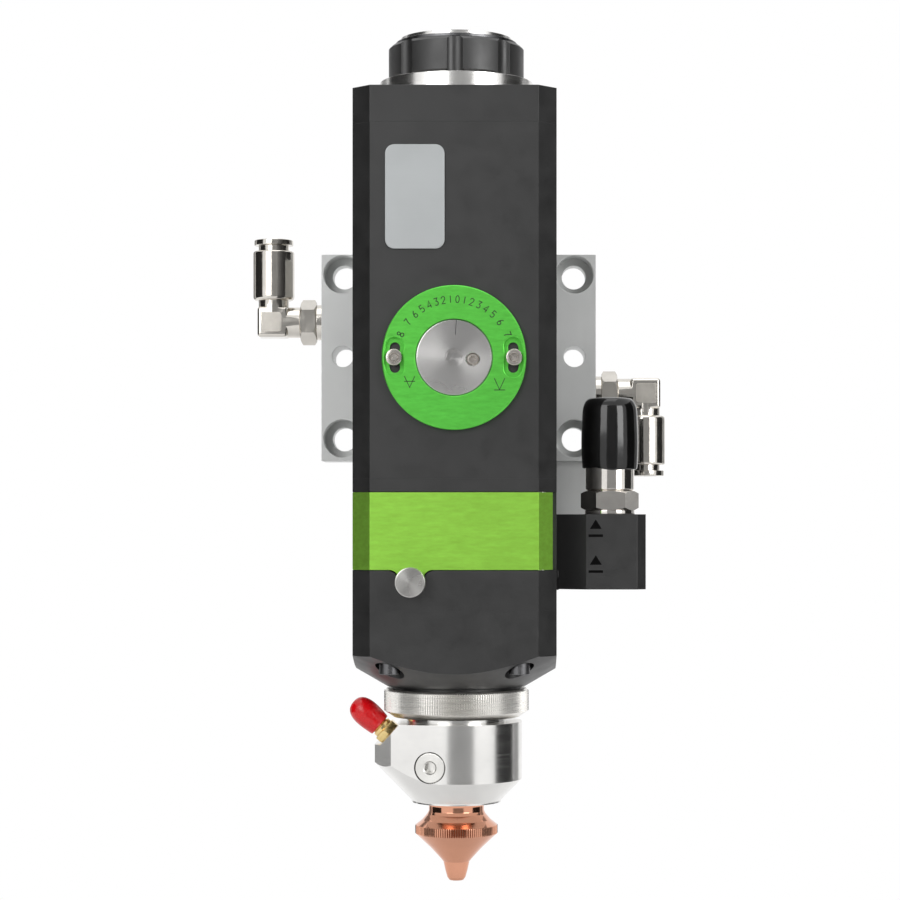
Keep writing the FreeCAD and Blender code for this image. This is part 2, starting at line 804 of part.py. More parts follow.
def make_mount_plate():
    half = "plate_wide / 2"
    blank = block("plate_blank", ("0 - " + half, half), ("body_half", "plate_back"),
                  ("0 - plate_drop", "plate_top"))
    tools = []
    for side, sign in sides():
        x = f"{sign} bolt_across / 2"
        for end, z in (("low", "0 - bolt_up / 2"), ("high", "bolt_up / 2")):
            tools.append(rod(f"bolt_bore_{side}_{end}", "bolt_bore / 2", "plate_thick",
                             x, "body_half", z, "back"))
            tools.append(rod(f"bolt_head_{side}_{end}", "bolt_head_bore / 2", "bolt_head_deep",
                             x, "body_half", z, "back"))
        tools.append(rod(f"middle_bore_{side}", "middle_bore / 2", "plate_thick",
                         x, "body_half", "0", "back"))
        rise = "port_rise" if side == "left" else "0 - port_rise"
        inward = "right" if side == "left" else "left"
        tools.append(rod(f"port_{side}", "port_bore / 2", "port_deep",
                         f"{sign} plate_wide / 2", "plate_mid", rise, inward))
        tools.append(rod(f"port_channel_{side}", "channel_bore / 2", "plate_wide / 2",
                         f"{sign} plate_wide / 2", "plate_mid", rise, inward))
        for end, z in (("low", "0 - plate_screw_up / 2"), ("high", "plate_screw_up / 2")):
            tools.append(screw_hole(f"plate_screw_bore_{side}_{end}", "large", "plate_thick",
                                    "plate_thick", f"{sign} plate_screw_across / 2",
                                    "plate_back - large_head_high - head_room", z, "back"))
    tools.append(rod("cross_channel", "channel_bore / 2", "plate_drop + port_rise",
                     "0", "plate_mid", "0 - plate_drop", "up"))
    tools.append(rod("plug_bore", "channel_plug_wide / 2 + screw_gap",
                     "channel_plug_long + running_gap", "0", "plate_mid", "0 - plate_drop", "up"))
    sub_part("mount_plate", cut("mount_plate", blank, *tools))

    plug = cut("channel_plug",
               rod("plug_blank", "channel_plug_wide / 2", "channel_plug_long"),
               hexagon("plug_key", "large_socket", "channel_plug_long / 2"))
    sub_part("channel_plug", plug, y="plate_mid", z="0 - plate_drop")

    screws = []
    for side, sign in sides():
        for end, z in (("low", "0 - plate_screw_up / 2"), ("high", "plate_screw_up / 2")):
            long = "plate_thick - large_head_high - head_room + thread_bite"
            screws.append(socket_screw(f"plate_screw_{side}_{end}", "large", long,
                                       f"{sign} plate_screw_across / 2",
                                       "plate_back - large_head_high - head_room", z, "back"))
    sub_part("plate_screws", group("plate_screws", *screws))


def make_housing():
    blank = body_section("housing_blank", "housing_bottom", "housing_top")
    tools = [
        rod("carriage_bore_tool", "carriage_bore / 2", "carriage_bore_top + housing_drop",
            z="housing_bottom"),
        rod("web_bore_tool", "web_bore / 2", "web_thick", z="carriage_bore_top"),
        rod("collimator_bore_tool", "collimator_bore / 2", "housing_top - web_top", z="web_top"),
        rod("dial_seat_tool", "dial_flange_wide / 2 + dial_seat_gap",
            "dial_flange_thick + 2 * dial_end_gap", "0", "0 - body_half", "dial_height", "back"),
        rod("dial_bore_tool", "dial_journal_wide / 2 + running_gap",
            "body_half - carriage_bore / 4", "0", "0 - body_half", "dial_height", "back"),
    ]
    for side, sign in sides():
        tools.append(thread_hole(f"scale_thread_{side}", "small", "thread_bite",
                                 f"{sign} slot_radius", "0 - body_half", "dial_height", "back"))
        for end, z in (("low", "0 - plate_screw_up / 2"), ("high", "plate_screw_up / 2")):
            tools.append(thread_hole(f"plate_thread_{side}_{end}", "large", "thread_bite",
                                     f"{sign} plate_screw_across / 2", "body_half", z, "front"))
    for word, x, y in corners_of("block_screw_across", "block_screw_deep_apart"):
        tools.append(thread_hole(f"block_thread_{word}", "medium", "thread_bite",
                                 x, y, "housing_bottom", "up"))
    for word, x, y in corners_of("top_screw_apart", "top_screw_apart"):
        tools.append(thread_hole(f"top_thread_{word}", "medium", "thread_bite",
                                 x, y, "housing_top", "down"))
    sub_part("main_housing", cut("main_housing", blank, *tools))

    left = "0 - label_left"
    plate = block("label_blank", (left, left + " + label_wide"),
                  ("0 - body_half - label_thick", "0 - body_half"),
                  ("label_bottom", "label_bottom + label_high"))
    plate = rounded("name_plate", plate, size("label_round"),
                    lambda edge: abs(edge.tangentAt(edge.FirstParameter).y) > 0.99)
    sub_part("name_plate", plate)


def make_top():
    blank = body_section("flange_blank", "housing_top", "flange_top")
    tools = [rod("flange_bore_tool", "flange_bore / 2", "flange_high", z="housing_top")]
    screws = []
    for word, x, y in corners_of("top_screw_apart", "top_screw_apart"):
        seat = "flange_top - medium_head_high - head_room"
        tools.append(screw_hole(f"top_hole_{word}", "medium", "flange_high", "flange_high",
                                x, y, seat, "up"))
        long = "flange_high - medium_head_high - head_room + thread_bite"
        screws.append(socket_screw(f"top_screw_{word}", "medium", long, x, y, seat))
    receiver_screws = []
    receiver_holes = []
    for number in range(4):
        angle = 90 * number
        x = f"receiver_screw_circle / 2 * cos({angle})"
        y = f"receiver_screw_circle / 2 * sin({angle})"
        seat = "receiver_seat - small_head_high - running_gap"
        tools.append(thread_hole(f"receiver_thread_{number}", "small", "thread_bite",
                                 x, y, "flange_top", "down"))
        receiver_holes.append(screw_hole(f"receiver_hole_{number}", "small",
                                         "receiver_flange_high", "receiver_flange_high",
                                         x, y, seat, "up"))
        long = "receiver_flange_high - small_head_high - running_gap + thread_bite"
        receiver_screws.append(socket_screw(f"receiver_screw_{number}", "small", long,
                                            x, y, seat))
    sub_part("top_flange", cut("top_flange", blank, *tools))
    sub_part("top_flange_screws", group("top_flange_screws", *screws))
    sub_part("receiver_screws", group("receiver_screws", *receiver_screws))

    barrel = "receiver_barrel_wide / 2"
    groove = f"{barrel} - clip_groove_deep"
    clip_bottom = "collar_clip_bottom - running_gap"
    clip_top = "collar_clip_bottom + collar_clip_thick + running_gap"
    receiver = turned("receiver_blank",
                      ("fibre_bore / 2", "receiver_top"), (barrel, "receiver_top"),
                      (barrel, clip_top), (groove, clip_top),
                      (groove, clip_bottom), (barrel, clip_bottom),
                      (barrel, "receiver_seat"), ("receiver_flange_wide / 2", "receiver_seat"),
                      ("receiver_flange_wide / 2", "flange_top"),
                      ("flange_bore / 2 - running_gap", "flange_top"),
                      ("flange_bore / 2 - running_gap", "flange_top - receiver_spigot_deep"),
                      ("receiver_throat / 2", "flange_top - receiver_spigot_deep"),
                      ("receiver_throat / 2", "receiver_top - fibre_bore_deep"),
                      ("fibre_bore / 2", "receiver_top - fibre_bore_deep"))
    sub_part("fibre_receiver", cut("fibre_receiver", receiver, *receiver_holes))

    rim = "collar_half - collar_edge"
    collar = turned("collar_blank",
                    ("collar_bore", "collar_bottom"), (rim, "collar_bottom"),
                    ("collar_half", "collar_bottom + collar_edge"),
                    ("collar_half", "collar_top - collar_edge"),
                    (rim, "collar_top"), ("collar_bore", "collar_top"))
    flutes = []
    for number in range(8):
        reach = "collar_half + collar_flute / 2 - collar_flute_bite"
        flutes.append(rod(f"flute_{number}", "collar_flute / 2", "collar_high + 2 * cut_past",
                          f"({reach}) * cos({45 * number})", f"({reach}) * sin({45 * number})",
                          "collar_bottom - cut_past"))
    sub_part("lock_collar", cut("lock_collar", collar, *flutes))

    clip = turned("collar_clip",
                  (groove + " + running_gap", "collar_clip_bottom"),
                  ("collar_clip_wide / 2", "collar_clip_bottom"),
                  ("collar_clip_wide / 2", "collar_clip_bottom + collar_clip_thick"),
                  (groove + " + running_gap", "collar_clip_bottom + collar_clip_thick"))
    sub_part("collar_clip", clip)


def lens(name, wide, edge, crown, bottom):
    """A lens with a flat face below and a domed one above its straight edge."""
    radius = f"({wide}) / 2"
    dome = f"(({radius}) * ({radius}) + ({crown}) * ({crown})) / (2 * ({crown}))"
    sphere = doc.addObject("Part::Sphere", name + "_dome")
    bind(sphere, Radius=dome)
    place(sphere, z=f"({bottom}) + ({edge}) + ({crown}) - {dome}")
    blank = rod(name + "_blank", radius, f"({edge}) + ({crown})", z=bottom)
    return common(name, blank, sphere)


def dome_rise(kind, radius):
    """How far a lens's dome stands above its edge where its retaining ring rests."""
    share = f"(({radius}) / ({kind}_lens_wide / 2))"
    return f"{kind}_lens_crown * (1 - {share} * {share}) + running_gap / 5"


def make_collimator():
    outer = "collimator_bore / 2 - running_gap"
    seat = "collimator_lens_wide / 2 + screw_gap"
    barrel = turned("collimator_barrel",
                    ("collimator_clear / 2", "web_top"), (outer, "web_top"),
                    (outer, "collimator_top"), (seat, "collimator_top"),
                    (seat, "collimator_seat"), ("collimator_clear / 2", "collimator_seat"))
    sub_part("collimator_barrel", barrel)
    sub_part("collimator_lens", lens("collimator_lens", "collimator_lens_wide",
                                     "collimator_lens_edge", "collimator_lens_crown",
                                     "collimator_seat"))
    inner = "collimator_lens_wide / 2 - collimator_nut_wall"
    low = "collimator_seat + collimator_lens_edge + " + dome_rise("collimator", inner)
    nut = turned("collimator_retainer",
                 (inner, low), ("collimator_lens_wide / 2", low),
                 ("collimator_lens_wide / 2", low + " + collimator_nut_high"),
                 (inner, low + " + collimator_nut_high"))
    sub_part("collimator_retainer", nut)


def make_carriage():
    outer = "carriage_bore / 2 - running_gap"
    groove = outer + " - carriage_groove_deep"
    inner = "carriage_clear / 2"
    seat = "focus_lens_wide / 2 + screw_gap"
    groove_bottom = "carriage_bottom + carriage_seal_rise"
    groove_top = groove_bottom + " + carriage_groove_wide"
    blank = turned("carriage_blank",
                   (seat, "carriage_bottom"), (outer, "carriage_bottom"),
                   (outer, groove_bottom), (groove, groove_bottom),
                   (groove, groove_top), (outer, groove_top),
                   (outer, "carriage_top"), (inner, "carriage_top"),
                   (inner, "focus_seat"), (seat, "focus_seat"))
    slot = block("pin_slot", ("0 - pin_slot_half", "pin_slot_half"),
                 ("0 - carriage_bore / 2 - cut_past", "pin_slot_deep - carriage_bore / 2"),
                 ("dial_pin_height - pin_slot_high / 2", "dial_pin_height + pin_slot_high / 2"))
    sub_part("focus_carriage", cut("focus_carriage", blank, slot))
    cord = "(carriage_groove_deep - 2 * running_gap) / 2"
    sub_part("carriage_seal", seal_ring("carriage_seal", f"{groove} + running_gap + {cord}", cord),
             z=f"({groove_bottom} + {groove_top}) / 2")

    glass = lens("focus_lens", "focus_lens_wide", "focus_lens_edge", "focus_lens_crown", "0")
    sub_part("focus_lens", glass, z="focus_seat", turn="down")
    rim = "focus_lens_wide / 2 - focus_nut_wall"
    low = f"focus_seat - focus_lens_edge - ({dome_rise('focus', rim)}) - focus_nut_high"
    nut = turned("focus_retainer",
                 (rim, low), ("focus_lens_wide / 2", low),
                 ("focus_lens_wide / 2", low + " + focus_nut_high"),
                 (rim, low + " + focus_nut_high"))
    sub_part("focus_retainer", nut)


def make_dial():
    journal = "dial_journal_wide / 2"
    groove = journal + " - dial_groove_deep"
    blank = turned("dial_blank",
                   ("0", "dial_face"), ("dial_face_wide / 2 - dial_edge", "dial_face"),
                   ("dial_face_wide / 2", "dial_face + dial_edge"),
                   ("dial_face_wide / 2", "dial_flange_front"),
                   ("dial_flange_wide / 2", "dial_flange_front"),
                   ("dial_flange_wide / 2", "dial_flange_back"), (journal, "dial_flange_back"),
                   (journal, "dial_groove"), (groove, "dial_groove"),
                   (groove, "dial_groove + dial_groove_wide"),
                   (journal, "dial_groove + dial_groove_wide"),
                   (journal, "dial_journal_end"), ("0", "dial_journal_end"))
    # Drawn along +Z, which then points back, with -Y of the drawing up
    pin = rod("dial_pin", "dial_pin_wide / 2", "dial_pin_long + dial_pin_root",
              "dial_pin_place", "dial_pin_throw * sin(dial_pin_lag)",
              "dial_journal_end - dial_pin_root")
    key = hexagon("dial_key", "dial_socket", "dial_socket_deep", "dial_face")
    grub_bore = rod("dial_grub_bore", "dial_grub_thread / 2 + screw_gap",
                    "dial_grub_sunk + dial_grub_long + dial_grub_room",
                    "dial_hole_across", "dial_hole_drop", "dial_face")
    shaft = cut("dial_shaft", fuse("dial_solid", blank, pin), key, grub_bore)
    sub_part("dial_shaft", shaft, z="dial_height", turn="back")

    grub = cut("dial_set_screw",
               rod("grub_blank", "dial_grub_thread / 2", "dial_grub_long"),
               hexagon("grub_key", "dial_grub_socket", "dial_grub_long / 2"))
    sub_part("dial_set_screw", grub, "dial_hole_across", "dial_face + dial_grub_sunk",
             "dial_height - dial_hole_drop", "back")
    cord = "(dial_groove_deep - 2 * running_gap) / 2"
    sub_part("dial_seal",
             seal_ring("dial_seal", f"{groove} + running_gap + {cord}", cord),
             "0", "dial_groove + dial_groove_wide / 2", "dial_height", "back")


def arc_slot(name, wide, half_angle, long):
    """A curved slot about the dial's axis with round ends, to the side of +X."""
    outer = sector(name + "_outer", f"slot_radius + ({wide}) / 2", long, half_angle)
    inner = rod(name + "_inner", f"slot_radius - ({wide}) / 2", long)
    band = cut(name + "_band", outer, inner)
    ends = []
    for word, sign in (("start", "0 -"), ("finish", "0 +")):
        ends.append(rod(f"{name}_{word}", f"({wide}) / 2", long,
                        f"slot_radius * cos({half_angle})",
                        f"{sign} slot_radius * sin({half_angle})"))
    return fuse(name, band, *ends)


def make_scale():
    outer = "scale_wide / 2"
    blank = turned("scale_blank",
                   ("scale_bore / 2", "0"), (outer, "0"), (outer, "scale_thick - scale_edge"),
                   (outer + " - scale_edge", "scale_thick"), ("scale_bore / 2", "scale_thick"))
    tools = []
    for number in range(2):
        slot = arc_slot(f"slot_{number}", "slot_wide", "slot_half_angle", "scale_thick")
        recess = arc_slot(f"slot_recess_{number}", "slot_recess_wide",
                          "slot_recess_half_angle", "slot_recess_deep + cut_past")
        place(recess, z="scale_thick - slot_recess_deep")
        both = fuse(f"slot_pair_{number}", slot, recess)
        both.Placement = FreeCAD.Placement(FreeCAD.Vector(0, 0, 0),
                                           FreeCAD.Rotation(Z_AXIS, 180 * number))
        tools.append(both)
    sub_part("scale_ring", cut("scale_ring", blank, *tools),
             "0", "0 - body_half", "dial_height", "front")

    screws = []
    for side, sign in sides():
        long = "scale_thick - slot_recess_deep + thread_bite"
        screws.append(socket_screw(f"scale_screw_{side}", "small", long, f"{sign} slot_radius",
                                   "scale_face + slot_recess_deep", "dial_height", "front"))
    sub_part("scale_ring_screws", group("scale_ring_screws", *screws))


def lobe(name, grow, low, high):
    """The tongue under the cover that its screw goes through, grown for the recess."""
    half = f"lobe_round + {grow}"
    flare = f"lobe_flare - {grow}"
    long = f"({high}) - ({low})"
    disc = rod(name + "_disc", half, long, "0 - knob_across", low, "knob_height", "back")
    stem = block(name + "_stem", (f"0 - knob_across - ({half})", f"0 - knob_across + {half}"),
                 (low, high), ("knob_height", "door_bottom + cut_past"))
    skirt = block(name + "_skirt",
                  ("0 - knob_across - lobe_round - lobe_flare",
                   "0 - knob_across + lobe_round + lobe_flare"),
                  (low, high), ("door_bottom - lobe_flare", "door_bottom + cut_past"))
    bites = []
    for side, sign in sides():
        bites.append(rod(f"{name}_bite_{side}", flare, long,
                         f"0 - knob_across {sign[-1]} (lobe_round + lobe_flare)", low,
                         "door_bottom - lobe_flare", "back"))
    return fuse(name, disc, stem, cut(name + "_flare", skirt, *bites))


def make_window_block():
    blank = body_section("block_blank", "block_bottom", "block_top")
    outside = "0 - body_half - cut_past"
    slot_half = "(drawer_wide / 2 + drawer_slot_gap)"
    tools = [
        rod("beam_bore_tool", "beam_bore / 2", "block_high", z="block_bottom"),
        block("door_pocket", (outside, "body_half + cut_past"), (outside, "pocket_floor"),
              ("pocket_bottom", "pocket_top")),
        lobe("lobe_recess", "lobe_gap", outside, "pocket_floor"),
        block("drawer_slot", ("0 - " + slot_half, slot_half),
              (outside, "drawer_back + drawer_end_gap"),
              ("drawer_bottom - drawer_slot_gap", "drawer_top + drawer_slot_gap")),
        rod("hinge_bore_tool", "hinge_bore / 2", "block_top - pocket_bottom + hinge_pin_foot",
            "hinge_across", "hinge_front", "pocket_bottom - hinge_pin_foot"),
        rod("knob_bore_tool", "knob_hole / 2", "knob_hole_deep",
            "0 - knob_across", "pocket_floor", "knob_height", "back"),
        rod("duct_tool", "duct_bore / 2", "body_half", "body_half", "0 - gas_front",
            "duct_height", "left"),
    ]
    screws = []
    for word, x, y in corners_of("block_screw_across", "block_screw_deep_apart"):
        seat = "block_bottom + block_screw_head_up"
        tools.append(screw_hole(f"block_hole_{word}", "medium", "block_high",
                                "block_screw_head_up + cut_past", x, y, seat, "down"))
        long = "block_high - block_screw_head_up + thread_bite"
        screws.append(socket_screw(f"block_screw_{word}", "medium", long, x, y, seat, "down"))
    for word, x, y in corners_of("nose_screw_across", "nose_screw_deep_apart"):
        tools.append(thread_hole(f"nose_thread_{word}", "medium", "thread_bite",
                                 x, y, "block_bottom", "up"))
    for side, sign in sides():
        tools.append(thread_hole(f"bracket_thread_{side}", "medium", "thread_bite",
                                 "body_half", "bracket_screw_deep",
                                 f"bracket_foot_mid {sign[-1]} bracket_screw_apart / 2", "left"))
    sub_part("window_block", cut("window_block", blank, *tools))
    sub_part("block_screws", group("block_screws", *screws))
    sub_part("hinge_pin", rod("hinge_pin", "hinge_pin_wide / 2",
                              "block_top - pocket_bottom + hinge_pin_foot - 2 * door_gap"),
             "hinge_across", "hinge_front", "pocket_bottom - hinge_pin_foot + door_gap")


def make_door():
    front = "0 - body_half"
    blank = prism("door_blank", "door_bottom", "door_top",
                  ("0 - flat_half", front), ("flat_half", front),
                  ("door_end", front + " + door_corner"), ("door_end", "door_back"),
                  (front, "door_back"), (front, "0 - flat_half"))
    low = "door_bottom - cut_past"
    square = block("hinge_corner", ("hinge_across", "door_end + cut_past"),
                   ("hinge_front", "door_back + cut_past"), (low, "door_top + cut_past"))
    barrel = rod("hinge_barrel", "hinge_round", "door_top - door_bottom + 2 * cut_past",
                 "hinge_across", "hinge_front", low)
    solid = fuse("door_solid", cut("door_plate", blank, cut("hinge_rounding", square, barrel)),
                 lobe("door_lobe", "0", front, "door_back"))
    tools = [
        rod("hinge_hole", "hinge_bore / 2", "door_top - door_bottom + 2 * cut_past",
            "hinge_across", "hinge_front", low),
        rod("knob_hole_tool", "knob_shank / 2 + clip_bore_gap", "pocket_deep",
            "0 - knob_across", front, "knob_height", "back"),
        rod("clip_pocket", "clip_wide / 2 + clip_bore_gap", "door_back - clip_room",
            "0 - knob_across", "clip_room", "knob_height", "back"),
    ]
    sub_part("door", cut("door", solid, *tools))

    rim = "knob_wide / 2"
    root = rim + " - 1.5 * knob_root"
    shank = "knob_shank / 2"
    groove = shank + " - knob_groove_deep"
    top = "knob_long"
    groove_front = "0 - body_half - clip_front + clip_ease"
    groove_back = "0 - body_half - clip_back - clip_ease"
    tip = "0 - body_half - knob_tip"
    knob = turned("knob_blank",
                  ("0", top), (root + " - knob_edge", top), (root, top + " - knob_edge"),
                  (root, "knob_edge"), (root + " - knob_edge", "0"), (shank, "0"),
                  (shank, groove_front), (groove, groove_front),
                  (groove, groove_back), (shank, groove_back), (shank, tip), ("0", tip))
    band = knurled_band("knob_knurl", "knob_wide", "knob_root", "knob_edge",
                        "knob_long - knob_edge", "knob_knurl_count")
    sub_part("door_screw", fuse("door_screw", knob, band),
             "0 - knob_across", "0 - body_half", "knob_height", "front")

    clip = turned("door_screw_clip",
                  (groove + " + clip_ease", "clip_front"), ("clip_wide / 2", "clip_front"),
                  ("clip_wide / 2", "clip_back"), (groove + " + clip_ease", "clip_back"))
    sub_part("door_screw_clip", clip, "0 - knob_across", "0", "knob_height", "back")


def make_drawer():
    half = "drawer_wide / 2"
    blank = block("drawer_blank", ("0 - " + half, half), ("drawer_front", "drawer_back"),
                  ("drawer_bottom", "drawer_top"))
    seat = "window_wide / 2 + screw_gap"
    tools = [
        rod("drawer_clear", "window_clear / 2", "drawer_high", z="drawer_bottom"),
        rod("drawer_seat", seat, "drawer_high", z="window_seat"),
    ]
    sub_part("drawer", cut("drawer", blank, *tools))
    sub_part("window_glass", rod("window_glass", "window_wide / 2", "window_thick"),
             z="window_bottom")
    rim = "window_wide / 2 - window_nut_wall"
    nut = turned("window_retainer",
                 (rim, "window_top"), ("window_wide / 2", "window_top"),
                 ("window_wide / 2", "window_top + window_nut_high"),
                 (rim, "window_top + window_nut_high"))
    sub_part("window_retainer", nut)
    cord = "window_seal_cord / 2"
    sub_part("window_seal",
             seal_ring("window_seal", f"window_wide / 2 - {cord}", cord),
             z=f"window_seat + {cord}")


def make_nose():
    wide = "body_wide * 3 / 4"
    edge = f"nose_edge + ({wide} - body_half) * nose_slope"
    envelope = turned("nose_envelope",
                      ("0", "nose_top"), (wide, "nose_top"), (wide, edge),
                      ("nose_end_wide / 2", "nose_end"), ("nose_neck_wide / 2", "nose_end"),
                      ("nose_neck_wide / 2", "nose_neck_end"),
                      ("nose_boss_wide / 2", "nose_neck_end"),
                      ("nose_boss_wide / 2", "nose_boss_end"), ("0", "nose_boss_end"))
    blank = common("nose_blank", body_section("nose_stock", "nose_boss_end", "nose_top"),
                   envelope)
    tools = [
        rod("chamber_tool", "chamber_bore / 2", "nose_top - nose_boss_end",
            z="nose_boss_end"),
        rod("spigot_tool", "spigot_wide / 2 + running_gap", "spigot_high + 2 * running_gap",
            z="nose_boss_end"),
    ]
    screws = []
    for word, x, y in corners_of("nose_screw_across", "nose_screw_deep_apart"):
        shank = rod(f"nose_hole_{word}", "medium_thread / 2 + shank_room", "nose_high",
                    x, y, "nose_end")
        pocket = rod(f"nose_pocket_{word}", "nose_screw_pocket / 2", "nose_high",
                     x, y, "nose_screw_seat", "down")
        tools += [shank, pocket]
        long = "nose_top - nose_screw_seat + thread_bite"
        screws.append(socket_screw(f"nose_screw_{word}", "medium", long, x, y,
                                   "nose_screw_seat", "down"))
    sub_part("nose", cut("nose", blank, *tools))
    sub_part("nose_screws", group("nose_screws", *screws))


def make_lock_ring():
    recess = "nose_neck_wide / 2 + ring_recess_gap"
    lip = "sensor_neck_wide / 2 + ring_lip_gap"
    blank = turned("ring_blank",
                   (recess, "ring_top"), ("ring_half - ring_top_edge", "ring_top"),
                   ("ring_root", "ring_top - ring_top_edge"), ("ring_root", "ring_taper_top"),
                   ("ring_half - ring_taper_in", "ring_bottom"), (lip, "ring_bottom"),
                   (lip, "ring_lip_top"), ("ring_thread", "ring_lip_top"),
                   ("ring_thread", "ring_recess"), (recess, "ring_recess"))
    band = knurled_band("ring_knurl", "2 * ring_half", "ring_knurl_deep", "ring_taper_top",
                        "ring_top - ring_top_edge", "ring_knurl_count")
    sub_part("lock_ring", fuse("lock_ring", blank, band))


def make_sensor():
    neck = "sensor_neck_wide / 2"
    spigot = "spigot_wide / 2"
    groove = spigot + " - spigot_groove_deep"
    groove_top = "spigot_top - spigot_groove_drop"
    groove_bottom = groove_top + " - spigot_groove_wide"
    turned_part = turned("sensor_turning",
                         ("0", "spigot_top"), (spigot, "spigot_top"),
                         (spigot, groove_top), (groove, groove_top),
                         (groove, groove_bottom), (spigot, groove_bottom),
                         (spigot, "nose_boss_end"), ("sensor_flange_wide / 2", "nose_boss_end"),
                         ("sensor_flange_wide / 2", "sensor_flange_bottom"),
                         (neck, "sensor_flange_bottom"), (neck, "sensor_top"),
                         ("sensor_half", "sensor_top"), ("sensor_half", "sensor_edge"),
                         ("sensor_end_wide / 2", "sensor_cone_end"),
                         ("sensor_end_wide / 2", "sensor_bottom"), ("0", "sensor_bottom"))
    lug = prism("sensor_lug", "sensor_bottom", "sensor_top",
                ("0 - lug_start", "0 - lug_start_deep"),
                ("0 - lug_corner", "0 - lug_corner_deep"),
                ("0 - lug_reach", "0 - lug_end_half"), ("0 - lug_reach", "lug_end_half"),
                ("0 - lug_corner", "lug_corner_deep"), ("0 - lug_start", "lug_start_deep"))
    wide = "lug_reach + 2 * cut_past"
    rim = f"sensor_edge + ({wide} - sensor_half) * sensor_slope"
    limit = turned("lug_limit",
                   ("0", "sensor_top"), (wide, "sensor_top"), (wide, rim),
                   ("sensor_end_wide / 2", "sensor_cone_end"), ("0", "sensor_cone_end"))
    solid = fuse("sensor_solid", turned_part, common("lug_trimmed", lug, limit))
    # The seat of the coaxial connector, square to its axis, with a level ledge below it
    ledge = "coax_height - coax_ledge * sin(coax_tilt)"
    slope = "tan(coax_tilt)"
    top = "sensor_top + cut_past"
    notch = doc.addObject("PartDesign::Body", "coax_notch")
    sketch = outline(notch, "coax_notch_side", "XZ_Plane",
                     ((f"0 - coax_across + (({top}) - coax_height) / {slope}", top),
                      ("0 - coax_across - coax_ledge * cos(coax_tilt)", ledge),
                      ("0 - lug_reach - cut_past", ledge),
                      ("0 - lug_reach - cut_past", top)))
    pad = notch.newObject("PartDesign::Pad", "coax_notch_pad")
    pad.Profile = sketch
    pad.SideType = "Symmetric"
    bind(pad, Length="sensor_wide + 2 * cut_past")
    tools = [
        notch,
        rod("sensor_bore_tool", "sensor_bore / 2", "spigot_top - sensor_bottom",
            z="sensor_bottom"),
        rod("insulator_bore", "insulator_wide / 2 + running_gap",
            "insulator_top - sensor_bottom", z="sensor_bottom"),
    ]
    plug_turn = FreeCAD.Rotation(Z_AXIS, -size("lug_tilt")).multiply(TURNS["front"])
    inward = FreeCAD.Rotation(Z_AXIS, -size("lug_tilt")).multiply(TURNS["back"])
    tools.append(rod("plug_bore_tool", "plug_wide / 2 + plug_gap", "plug_long + screw_gap",
                     "0 - plug_across", "0 - plug_front", "plug_height", inward))
    coax_turn = FreeCAD.Rotation(Y_AXIS, -size("coax_tilt"))
    opposite = FreeCAD.Rotation(Y_AXIS, 180 - size("coax_tilt"))
    tools.append(rod("coax_bore_tool", "coax_stub / 2 + screw_gap", "coax_stub_long + screw_gap",
                     "0 - coax_across", "0", "coax_height", opposite))
    sub_part("sensor_body", cut("sensor_body", solid, *tools))
    cord = "(spigot_groove_deep - 2 * running_gap) / 2"
    sub_part("sensor_seal", seal_ring("sensor_seal", f"{groove} + running_gap + {cord}", cord),
             z=f"{groove_top} - spigot_groove_wide / 2")

    plug = cut("sensor_plug",
               rod("sensor_plug_blank", "plug_wide / 2", "plug_long", z="0 - plug_long"),
               hexagon("sensor_plug_key", "plug_socket", "plug_socket_deep",
                       "0 - plug_socket_deep"))
    sub_part("sensor_plug", plug, "0 - plug_across", "0 - plug_front", "plug_height", plug_turn)
    make_coax(coax_turn)


def make_coax(turn):
    """The coaxial connector, drawn along its own axis from its seat on the sensor."""
    spot = ("0 - coax_across", "0", "coax_height", turn)
    barrel = "coax_barrel / 2"
    throat = "coax_throat / 2"
    floor = "coax_barrel_end - coax_throat_deep"
    core_end = "coax_barrel_end - coax_core_recess"
    shell = turned("coax_shell",
                   ("0", "0 - coax_stub_long"), ("coax_stub / 2", "0 - coax_stub_long"),
                   ("coax_stub / 2", "0"), (barrel, "0"), (barrel, "coax_barrel_end"),
                   ("coax_socket / 2", "coax_barrel_end"), ("coax_socket / 2", core_end),
                   (throat, core_end), (throat, floor), ("0", floor))
    nut = hexagon("coax_nut", "coax_hex", "coax_hex_high")
    nut.Placement = FreeCAD.Placement(FreeCAD.Vector(0, 0, 0), FreeCAD.Rotation(Z_AXIS, 30))
    sub_part("coax_connector", fuse("coax_connector", shell, nut), *spot)
    pin = "coax_contact / 2"
    core = turned("coax_insulator",
                  (pin + " + coax_core_gap", floor), (throat + " - coax_core_gap", floor),
                  (throat + " - coax_core_gap", core_end), (pin + " + coax_core_gap", core_end))
    sub_part("coax_insulator", core, *spot)
    contact = turned("coax_contact",
                     ("0", floor), (pin, floor), (pin, core_end), ("0", core_end))
    sub_part("coax_contact", contact, *spot)

    start = "coax_cap_start"
    end = "coax_cap_start + coax_cap_long"
    inner = "coax_barrel / 2 + running_gap"
    cap = turned("coax_cap_blank",
                 (inner, start), ("coax_cap_mouth / 2", start),
                 ("coax_cap_wide / 2", start + " + coax_cap_swell"),
                 ("coax_cap_waist_wide / 2", start + " + coax_cap_waist"),
                 ("coax_cap_shoulder_wide / 2", start + " + coax_cap_shoulder"),
                 ("coax_cap_end_wide / 2", end), ("0", end),
                 ("0", "coax_barrel_end + coax_cap_room"),
                 (inner, "coax_barrel_end + coax_cap_room"))
    sub_part("coax_cap", cap, *spot)


